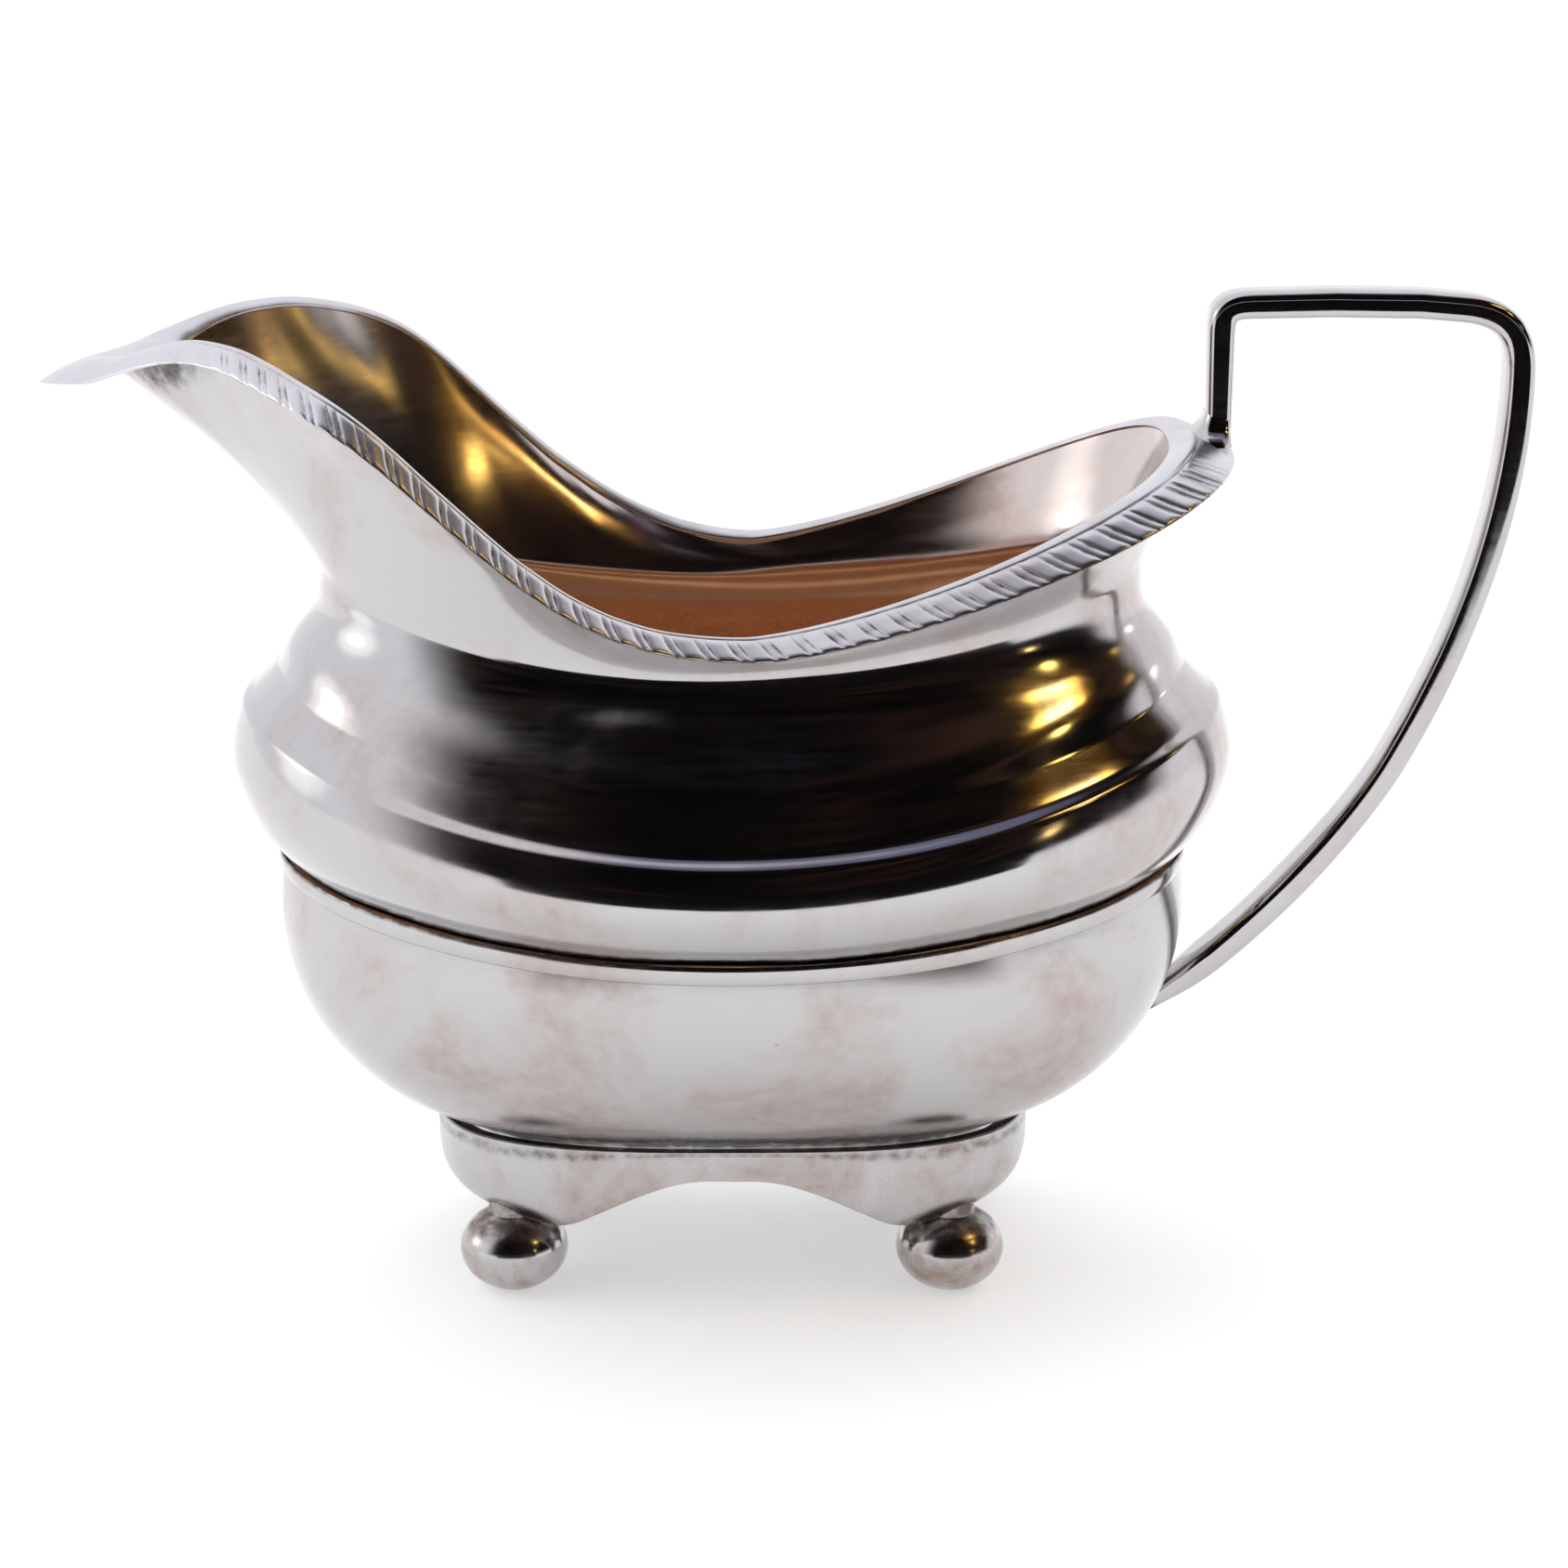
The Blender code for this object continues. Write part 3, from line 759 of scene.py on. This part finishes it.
@dataclass
class RimBorder:
    """Cast border of slanting lobes with a slim reed between each two, and a plain inner lip.

    Lobe and reed are given by middle and half width, in shares of the pitch, and power.
    A band is where a change starts and how long it runs, negative if towards the spout.
    """

    metal: Material
    stations: int = 1250
    pitch: float = 2.9
    lobe_high: float = 0.17
    lobe: tuple[float, float, int] = (0.31, 0.31, 3)
    reed: tuple[float, float, int] = (0.80, 0.13, 2)
    reed_share: float = 0.5
    slant: float = 0.30
    slant_spout: float = 1.6
    slant_band: Pair = (-20.0, -25.0)
    bow: float = 0.35
    bow_at: float = 0.45
    spout_band: Pair = (-51.0, 8.0)
    heel_band: Pair = (46.5, -2.5)
    # Darker between the lobes, along the line where the lobes stop and on the border's underside:
    # tarnish and painted shade.
    dirt: float = 0.8
    tarnish_and_shade_power: float = 1.3
    tarnish_and_shade_least: float = 0.35
    tarnish_and_shade_across: Bell = (0.65, 0.30, 0.16)
    edge_tarnish_and_shade: float = 0.6
    edge_across: Bell = (1.0, 0.57, 0.02)
    edge_above: float = 0.5
    edge_below: float = -0.65
    mitre_gap: float = 0.005
    # Section: share of the width (0 outer, 1 inner), height, share of the lobes there,
    # and the height it takes where the border flattens into the leaf of the spout.
    section: tuple[Quad, ...] = (
        (0.06, -0.8, 0, -2.45), (0, -0.72, 0, -2.38), (0, -0.62, 0.3, -2.28),
        (0.03, -0.52, 0.8, -2.08), (0.09, -0.36, 1, -1.65), (0.18, -0.12, 1, -1.05),
        (0.29, 0.17, 1, -0.5), (0.4, 0.46, 1, -0.15), (0.49, 0.69, 0.85, 0.05),
        (0.545, 0.83, 0.4, 0.12), (0.575, 0.88, 0, 0.15), (0.6, 0.98, 0, 0.18),
        (0.63, 1.05, 0, 0.2), (0.67, 1.08, 0, 0.22), (0.71, 1.07, 0, 0.22), (0.78, 0.99, 0, 0.16),
        (0.88, 0.79, 0, 0.02), (0.97, 0.5, 0, -0.3), (1, 0.28, 0, -0.5), (0.96, 0.02, 0, -0.7),
        (0.8, -0.2, 0, -0.75), (0.55, -0.4, 0, -0.9), (0.3, -0.58, 0, -1.4), (0.15, -0.74, 0, -2.1),
    )
    per_step: int = 2

    def profile(self) -> Array:
        """Section points doubled in number along a closed Catmull-Rom curve."""
        knots = np.asarray(self.section)
        before, after, beyond = (np.roll(knots, k, axis=0) for k in (1, -1, -2))
        steps = []
        for t in np.arange(self.per_step) / self.per_step:
            steps.append(0.5 * (2 * knots + (after - before) * t
                                + (2 * before - 5 * knots + 4 * after - beyond) * t ** 2
                                + (3 * knots - before - 3 * after + beyond) * t ** 3))
        return np.stack(steps, 1).reshape(-1, 4)

    @staticmethod
    def ridge(part: Array, middle: float, half: float, power: int) -> Array:
        """A round ridge: square root of one less the power of the way from its middle."""
        return np.sqrt(np.clip(1.0 - np.abs((part - middle) / half) ** power, 0.0, 1.0))

    def half(self) -> tuple[Array, Array]:
        """The near half of the border: stations along the mouth, section points across.

        Lobes rise along the surface normal. Their place along the border is its length
        over the pitch, moved on by a slant that grows towards the spout and by a bow.

        Returns:
            Points, and how sheltered each is.
        """
        outer, inner = MOUTH.plan(0.0), MOUTH.plan(1.0)
        inner[:, 2] = outer[:, 2]
        step = np.linalg.norm(np.diff(0.5 * (outer + inner), axis=0), axis=1)
        run = np.concatenate(([0.0], np.cumsum(step)))
        want = np.linspace(0.0, run[-1], self.stations)
        outer, inner = (np.stack([np.interp(want, run, edge[:, k]) for k in range(3)], 1)[:, None]
                        for edge in (outer, inner))
        across, high, lobed, leaf = self.profile().T
        points = outer * (1 - across[:, None]) + inner * across[:, None]
        x = outer[:, :, 0]
        flat = MOUTH.leaf(x)
        points[:, :, 2] += high * (1.0 - flat) + leaf * flat
        lean = self.slant + (self.slant_spout - self.slant) * smooth(x, *self.slant_band)
        phase = want[:, None] / self.pitch - lean * across + self.bow * (across - self.bow_at) ** 2
        part = phase - np.floor(phase)
        rise = np.maximum(self.ridge(part, *self.lobe),
                          self.ridge(part, *self.reed) * self.reed_share)
        share = np.clip(lobed, 0.0, 1.0) * smooth(x, *self.spout_band) * smooth(x, *self.heel_band)
        mark = self.tarnish_and_shade_least + bells(across, self.tarnish_and_shade_across)
        shelter = share * (1.0 - rise) ** self.tarnish_and_shade_power * self.dirt * mark
        facing = normals(points, False)
        if facing[self.stations // 2, np.argmax(high), 2] < 0:
            facing = -facing
        points = points + facing * (share * rise * self.lobe_high)[..., None]
        edges = bells(across, self.edge_across) * (high > self.edge_above)
        edges = self.edge_tarnish_and_shade * (edges + (high < self.edge_below))
        points[[0, -1], :, 1] = -self.mitre_gap
        return points, np.maximum(shelter, edges * (1.0 - flat))

    def build(self) -> None:
        """Builds the near half and its mirror image behind."""
        points, shelter = self.half()
        for side in Side:
            skin = Skin(points * np.array([1.0, side.value, 1.0]), shelter, False)
            name = side.name.lower()
            piece = skin.make(f"gadroon_border_{name}", self.metal)
            place(piece, "rim_border", f"rim_border_{name}")


# ---- foot skirt and feet
@dataclass
class FootSkirt:
    """Upright oblong skirt under the bowl, arched between the feet.

    The soft edges are rows of fall and inset, as in level().
    """

    metal: Material
    half_count: int = 190
    rows: int = 40
    plan: Level = Level(28.7, 19.1, 0.0, 0.0, 3.0)
    top: float = 15.9
    low: float = 7.3
    arch_rise: float = 5.6
    arch_long: float = 20.5
    arch_short: float = 8.5
    arch_flat: float = 1.12
    long_zone: float = 0.5
    short_zone: float = 0.75
    wall: float = 1.0
    draw_in: float = 4.4
    draw_share: float = 0.2
    draw_power: int = 5
    top_fall: float = 0.015
    top_soft: tuple[Pair, ...] = ((0.0, 0.35), (0.0, 0.12))
    low_soft: tuple[Pair, ...] = (
        (0.985, 0.02), (0.998, 0.12), (1.0, 0.3), (1.0, 0.7), (0.998, 0.9))
    # Darker near the skirt's top under the bowl and over its inner face: tarnish and painted shade.
    outer_tarnish_and_shade: tuple[Bell, ...] = ((0.2, 1.0, 1.2), (0.52, 6.0, 3.5))
    inner_tarnish_and_shade: float = 0.25
    waves: tuple[float, int] = (0.015, 21)

    def level(self, fall: float, inside: float) -> Array:
        """A level line of the skirt, between its straight top and its arched lower edge.

        The foot draws in with the fifth power of the depth, mostly at its two ends.

        Args:
            fall: 0 at the top, 1 at the cut lower edge.
            inside: How far inside the outer face the line lies.

        Returns:
            Closed ring of points.
        """
        shape = self.plan.ring(self.half_count)
        x, y = np.abs(shape[:, 0]), np.abs(shape[:, 1])
        long_arch = np.clip(1.0 - x / self.arch_long, 0.0, 1.0)
        short_arch = np.clip(1.0 - y / self.arch_short, 0.0, 1.0)
        arch = np.maximum(long_arch * (y > self.long_zone * self.plan.depth),
                          short_arch * (x > self.short_zone * self.plan.length))
        low = self.low + self.arch_rise * smooth(self.arch_flat * arch)
        shape[:, 2] = self.top + (low - self.top) * fall
        drop = np.clip((self.top - shape[:, 2]) / (self.top - self.low), 0.0, 1.0)
        inset = self.draw_in * drop ** self.draw_power
        shape[:, 0] *= (self.plan.length - inset - inside) / self.plan.length
        shape[:, 1] *= (self.plan.depth - self.draw_share * inset - inside) / self.plan.depth
        return shape

    def build(self) -> None:
        """Goes down the outer face, round the softened lower edge, and up the inner face."""
        down = np.linspace(0.0, 1.0, self.rows)
        table = list(self.top_soft) + [(max(fall, self.top_fall), 0.0) for fall in down[:-1]]
        table += list(self.low_soft) + [(fall, self.wall) for fall in down[-2::-1]]
        points = np.asarray([self.level(fall, inside) for fall, inside in table])
        row = np.arange(len(points))[:, None]
        hollow = np.repeat(bells(row, *self.outer_tarnish_and_shade), points.shape[1], 1)
        hollow[len(self.top_soft) + self.rows:] = self.inner_tarnish_and_shade
        points = hand_waves(points, True, *self.waves)
        skin = Skin(points, hollow, True)
        place(skin.make("arched_skirt", self.metal), "foot_skirt", "foot_skirt")


@dataclass
class BallFeet:
    """Four turned balls, a little flattened, each on a short stem under a corner of the skirt."""

    metal: Material
    columns: int = 96
    rows: int = 64
    stem_rows: int = 18
    radius: float = 5.15
    half_high: float = 4.15
    flat: float = 1.6
    flat_inner: float = 0.45
    neck: float = 2.4
    ankle: float = 2.3
    ankle_top: float = 10.6
    top_draw: float = 0.5
    # Top of each ball and its stem darker where they meet the skirt: painted shade under the skirt,
    # with brown sulphide.
    dirt: float = 0.78
    tarnish_and_shade_band: Pair = (4.9, 2.0)

    def profile(self) -> Array:
        """Radius and height: an oblate half round up to the neck, then a stem into the skirt."""
        start = math.asin(self.flat / self.radius)
        turn = np.linspace(start, math.pi - math.asin(self.neck / self.radius), self.rows)
        middle = self.half_high * math.cos(start)
        ball = np.stack([self.radius * np.sin(turn), middle - self.half_high * np.cos(turn)], 1)
        rise = np.linspace(0.0, 1.0, self.stem_rows)[1:]
        ankle = self.ankle + (self.neck - self.ankle) * (1.0 - rise) ** 3
        ankle -= self.top_draw * rise ** 4
        stem = np.stack([ankle, ball[-1, 1] + (self.ankle_top - ball[-1, 1]) * rise], 1)
        return np.concatenate(([[self.flat_inner * self.flat, 0.0]], ball, stem))

    def build(self) -> None:
        """Turns the profile round each foot's own upright axis."""
        spin = np.arange(self.columns) * 2.0 * math.pi / self.columns
        line = self.profile()
        for end in ("spout", "handle"):
            for side in Side:
                name = f"{end}_{side.name.lower()}"
                low, high = (np.array(corner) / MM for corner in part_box(f"ball_foot_{name}"))
                centre = 0.5 * (low + high) - np.array([Shift.x, 0.0, 0.0])
                points = np.stack([centre[0] + line[:, :1] * np.cos(spin),
                                   centre[1] + line[:, :1] * np.sin(spin),
                                   np.repeat(line[:, 1:], self.columns, 1)], 2)
                shelter = self.dirt * smooth(points[:, :, 2], *self.tarnish_and_shade_band)
                piece = Skin(points, shelter, False).make(f"turned_ball_{name}", self.metal)
                place(piece, "ball_foot", f"ball_foot_{name}")


# ---- the handle
def bezier(points: Sequence[Pair], count: int) -> Array:
    """A cubic Bezier curve through four points of the handle's plane, without its first point."""
    p0, p1, p2, p3 = (np.asarray(point, float) for point in points)
    t = np.linspace(0.0, 1.0, count + 1)[1:, None]
    return p0 * (1 - t) ** 3 + 3 * p1 * t * (1 - t) ** 2 + 3 * p2 * t ** 2 * (1 - t) + p3 * t ** 3


@dataclass
class Handle:
    """Forged strap: up from the rim, squarely along the top, and down in one sweep to the bowl."""

    metal: Material
    stations: int = 420
    columns: int = 56
    heading_window: int = 9
    thick: float = 2.8
    wide: float = 5.2
    squareness: float = 4.2
    thin_from: float = 0.93
    thin_by: float = 0.55
    thin_power: float = 1.5
    start_thin: Bell = (0.12, 0.0, 0.09)
    wide_least: float = 0.35
    # Both ends of the strap darker where they meet the rim and the bowl: tarnish and painted shade.
    end_tarnish_and_shade: tuple[Bell, ...] = ((0.6, 0.0, 0.012), (0.8, 1.0, 0.012))
    waves: tuple[float, int] = (0.012, 33)
    # Centre line in x and z: straight runs of points (0 steps), and cubic bends with their steps.
    path: tuple[tuple[int, tuple[Pair, ...]], ...] = (
        (0, ((45.65, 80.6), (45.65, 86.0), (45.65, 90.2))),
        (20, ((45.65, 90.2), (45.65, 92.4), (46.3, 92.8), (48.6, 92.85))),
        (0, ((56.0, 93.0), (64.0, 92.9), (67.6, 92.6))),
        (30, ((67.6, 92.6), (71.8, 92.3), (73.6, 90.6), (73.65, 86.5))),
        (60, ((73.65, 86.5), (73.7, 73.5), (69.5, 60.5), (63.0, 48.65))),
        (60, ((63.0, 48.65), (59.7, 42.8), (52.3, 34.0), (43.9, 27.2))),
        (0, ((40.0, 24.3),)),
    )

    def build(self) -> None:
        """Carries a rounded oblong section along the centre line, slimmer over its last part."""
        path = by_length(np.concatenate([bezier(points, steps) if steps else points
                                         for steps, points in self.path]), self.stations)
        window = np.hanning(self.heading_window)
        pad = self.heading_window // 2
        heading = np.pad(np.gradient(path, axis=0), ((pad, pad), (0, 0)), mode="edge")
        heading = np.stack([np.convolve(heading[:, k], window, mode="valid") for k in range(2)], 1)
        heading /= np.linalg.norm(heading, axis=1, keepdims=True)
        side_way = np.stack([heading[:, 1], -heading[:, 0]], 1)
        run = np.linspace(0.0, 1.0, self.stations)
        late = np.clip((run - self.thin_from) / (1.0 - self.thin_from), 0.0, 1.0)
        thin = 1.0 - self.thin_by * late ** self.thin_power - bells(run, self.start_thin)
        u, v = squared_round(np.linspace(0.0, 2.0 * math.pi, self.columns, endpoint=False),
                             self.squareness)
        off = 0.5 * self.thick * thin[:, None] * u
        wide = self.wide * (self.wide_least + (1.0 - self.wide_least) * thin)
        points = np.stack([path[:, :1] + side_way[:, :1] * off, 0.5 * wide[:, None] * v,
                           path[:, 1:] + side_way[:, 1:] * off], 2)
        shelter = np.repeat(bells(run, *self.end_tarnish_and_shade)[:, None], self.columns, 1)
        points = hand_waves(points, False, *self.waves)
        piece = Skin(points, shelter, False).make("handle_strap", self.metal)
        place(piece, "handle", "handle")


@dataclass
class HandleSocket:
    """Small flared pad that sweeps the rim's border up to the handle."""

    metal: Material
    columns: int = 72
    rows: int = 30
    x: float = 45.65
    low: float = 80.0
    high: float = 82.9
    half: Pair = (1.1, 2.2)
    flare_in: float = 3.6
    flare_side: float = 2.6
    flare_out: float = 0.1
    fall: float = 1.0
    crowding: float = 1.6
    squareness: float = 4.0

    def build(self) -> None:
        """Stacks rounded oblongs whose flare dies away upwards as an exponential."""
        rise = np.linspace(0.0, 1.0, self.rows)[:, None] ** self.crowding
        z = self.low + (self.high - self.low) * rise
        flare = np.exp(-(z - self.low) / self.fall)
        u, v = squared_round(np.linspace(0.0, 2.0 * math.pi, self.columns, endpoint=False),
                             self.squareness)
        half_x = self.half[0] + flare * np.where(u > 0.0, self.flare_out, self.flare_in)
        half_y = self.half[1] + flare * self.flare_side
        points = np.stack([self.x + half_x * u, half_y * v, np.repeat(z, self.columns, 1)], 2)
        skin = Skin(points, np.zeros(points.shape[:2]), False)
        place(skin.make("handle_socket_pad", self.metal), "handle_socket", "handle_socket")


# ---- the studio
@dataclass
class Studio:
    """White paper floor, a pale room dark behind the viewer, a black flag, and the camera.

    The room is given in degrees: azimuth from the viewer, to the right, and elevation. A
    lean moves one side of the dark over a band of elevations; a soft is the band, from the
    side's own angle, over which it fades. Places are in metres.
    """

    floor_half: float = 6.0
    camera_place: Triple = (0.0, -0.350, 0.1425)
    camera_pitch: float = 74.65
    lens: float = 86.5
    sensor: float = 36.0
    clip: float = 0.01
    white: float = 1.12
    blue: float = 1.04
    dark_from: float = -48.0
    dark_to: float = 90.0
    dark_top: float = 84.0
    dark_foot: Pair = (1.5, 5.5)
    left_soft: Pair = (-18.0, 12.0)
    right_soft: Pair = (-9.0, 9.0)
    top_soft: Pair = (-4.0, 7.0)
    lean_left: float = 20.0
    lean_left_band: Pair = (44.0, 82.0)
    lean_right: float = 26.0
    lean_right_band: Pair = (8.0, 34.0)
    curtain_stretch: Triple = (1.0, 1.0, 9.0)
    curtain_scale: float = 2.2
    curtain_band: Pair = (0.5, 0.75)
    curtain_dark: Quad = (0.003, 0.003, 0.004, 1.0)
    curtain_warm: Quad = (0.06, 0.028, 0.018, 1.0)
    sheen: Quad = (0.20, 0.20, 0.30, 1.0)
    sheen_band: Pair = (66.0, 75.0)
    softbox_power: float = 1.9
    softbox_angle: float = 160.0
    flag_x: Pair = (-0.20, 0.30)
    flag_y: float = -0.29
    flag_top: float = 0.105
    # Each lamp's azimuth, elevation, radius, colour and strength; lamp_edge is in radii.
    lamps: tuple[tuple[float, float, float, str, float], ...] = (
        (64, 47, 12, "#A8691E", 0.2), (98, 32, 8, "#6A5430", 0.14), (56, 51.5, 2.6, "#FFC860", 6),
        (61, 50.7, 2.4, "#FFD88E", 7), (66, 49.8, 2.4, "#FFD88E", 7), (71, 48.8, 2.4, "#FFD88E", 7),
        (76, 47.6, 2.6, "#FFC860", 5), (60, 36, 3.2, "#F8D070", 7), (103, 31, 2, "#F4CC70", 2.6),
        (50, 15, 1.6, "#FFD88E", 6), (-94, 17, 15, "#FFFFFF", 1.7), (-94, 17, 5, "#FFFFFF", 9),
        (118, 14, 4, "#FFFFFF", 3),
    )
    lamp_edge: Pair = (1.25, 0.7)

    def dark(self, tree: Tree, azimuth: Socket, elevation: Socket) -> Socket:
        """How dark the room is in a direction, 0 to 1: the product of four soft steps."""
        def step(source: Socket, band: Pair, start: float = 0.0) -> Socket:
            """A soft step over a band of degrees, counted from a start."""
            return ramp(tree, source, tuple(math.radians(start + part) for part in band))

        def lean(angle: float, band: Pair) -> Socket:
            """The azimuth, less an angle that comes in over a band of elevations."""
            return calc(tree, "MULTIPLY_ADD", step(elevation, band), -math.radians(angle), azimuth)

        left = step(lean(self.lean_left, self.lean_left_band), self.left_soft, self.dark_from)
        right = step(lean(self.lean_right, self.lean_right_band), self.right_soft, self.dark_to)
        top = step(elevation, self.top_soft, self.dark_top)
        part = calc(tree, "MULTIPLY", left, calc(tree, "SUBTRACT", 1.0, right))
        part = calc(tree, "MULTIPLY", part, step(elevation, self.dark_foot))
        return calc(tree, "MULTIPLY", part, calc(tree, "SUBTRACT", 1.0, top))

    def world(self) -> bpy.types.World:
        """Paints the room by direction: pale, dark behind a streaked curtain, and lamps."""
        world = bpy.data.worlds.new("pale_room")
        world.use_nodes = True
        tree = world.node_tree
        tree.nodes.clear()
        way = add_node(tree, "TexCoord").outputs["Generated"]
        x, y, z = add_node(tree, "SeparateXYZ", {}, {0: way}).outputs
        azimuth = calc(tree, "ARCTAN2", x, calc(tree, "MULTIPLY", y, -1.0))
        elevation = calc(tree, "ARCSINE", z)
        streaks = add_node(tree, "Mapping", {}, {"Vector": way, "Scale": self.curtain_stretch})
        cloth = noise(tree, streaks.outputs[0], 1.0 / self.curtain_scale, detail=3.0)
        gloom = blend(tree, ramp(tree, cloth, self.curtain_band), self.curtain_dark,
                      self.curtain_warm)
        high = ramp(tree, elevation, tuple(math.radians(part) for part in self.sheen_band))
        pale = (self.white, self.white, self.white * self.blue, 1.0)
        glow = blend(tree, self.dark(tree, azimuth, elevation), pale,
                     blend(tree, high, gloom, self.sheen))
        for around, up, radius, code, strength in self.lamps:
            a, e = math.radians(around), math.radians(up)
            lamp = (math.sin(a) * math.cos(e), -math.cos(a) * math.cos(e), math.sin(e))
            near = add_node(tree, "VectorMath", {"operation": "DOT_PRODUCT"}, {0: way, 1: lamp})
            edge = tuple(math.cos(math.radians(radius * part)) for part in self.lamp_edge)
            hue = tuple(part * strength for part in linear(code)[:3]) + (1.0,)
            glow = blend(tree, ramp(tree, near.outputs["Value"], edge), glow, hue)
        shine = add_node(tree, "Background", {}, {"Color": glow})
        add_node(tree, "OutputWorld", {}, {"Surface": shine.outputs[0]})
        return world

    def sheet(self, name: str, corners: Sequence[Triple],
              finish: MattFinish) -> bpy.types.Object:
        """Hangs or lays a flat four-cornered sheet with a plain finish."""
        mesh = bpy.data.meshes.new(name)
        mesh.from_pydata(corners, [], [(0, 1, 2, 3)])
        mesh.materials.append(finish.make())
        made = bpy.data.objects.new(name, mesh)
        bpy.context.scene.collection.objects.link(made)
        return made

    def build(self) -> None:
        """Lays the floor at the feet, sets the world, the light and the flag, and the camera."""
        scene = bpy.context.scene
        scene.world = self.world()
        scene.view_settings.view_transform = "Standard"
        size, low = self.floor_half, cad_box[0].z
        self.sheet("studio_floor", [(-size, -size, low), (size, -size, low), (size, size, low),
                                    (-size, size, low)], PAPER)
        light = bpy.data.lights.new("overhead_softbox", "SUN")
        light.angle = math.radians(self.softbox_angle)
        light.energy = self.softbox_power
        softbox = bpy.data.objects.new("overhead_softbox", light)
        softbox.visible_glossy = False
        scene.collection.objects.link(softbox)
        (left, right), y, top = self.flag_x, self.flag_y, self.flag_top
        flag = self.sheet("black_flag", [(left, y, low), (right, y, low), (right, y, top),
                                         (left, y, top)], FLANNEL)
        flag.visible_camera = flag.visible_diffuse = flag.visible_shadow = False
        data = bpy.data.cameras.new("camera")
        data.lens, data.sensor_width, data.clip_start = self.lens, self.sensor, self.clip
        camera = bpy.data.objects.new("camera", data)
        camera.location = self.camera_place
        camera.rotation_euler = (math.radians(self.camera_pitch), 0.0, 0.0)
        scene.collection.objects.link(camera)
        scene.camera = camera


def main() -> None:
    """Builds the studio, then the jug's parts in order."""
    logging.basicConfig(level=logging.INFO, format="%(name)s %(message)s")
    Studio().build()
    body = SilverFinish("hand_polished_sterling").make()
    bowl = SilverFinish("tarnish_clouded_sterling", roughness=0.17, film_amount=0.8).make()
    # Lining: tarnish, and a strong, partly matt orange-brown stain that also paints warm light
    # reflected round the inside.
    lining = SilverFinish("tarnished_lining_painted_reflection", clean="#CBC2BE", film="#BE9F92",
                          stain_and_reflection="#EAB274", film_amount=0.7, roughness=0.15, stain_reflection_matt=0.75,
                          cloud_mm=22.0).make()
    border = SilverFinish("cast_chased_sterling", roughness=0.28, clean="#D2D1D6",
                          film_amount=0.4, planish_depth_mm=0.006).make()
    skirt = SilverFinish("dull_mottled_sterling", roughness=0.26, film_amount=1.0,
                         cloud_mm=9.0, mottle_mm=1.2).make()
    # The balls' brown sulphide colour also paints the shade under the skirt.
    ball = SilverFinish("turned_sterling", roughness=0.13, film="#9C8174", sulphide_and_shade="#4A3424",
                        film_amount=0.9, cloud_mm=5.0, planish_depth_mm=0.008).make()
    strap = SilverFinish("forged_sterling", roughness=0.08, film_amount=0.4,
                         film_roughness=0.05, planish_depth_mm=0.01).make()
    UpperBody(body, lining).build()
    LowerBowl(bowl, lining).build()
    GirdleMoulding(body).build()
    RimBorder(border).build()
    FootSkirt(skirt).build()
    BallFeet(ball).build()
    Handle(strap).build()
    HandleSocket(strap).build()


if __name__ == "__main__":
    main()
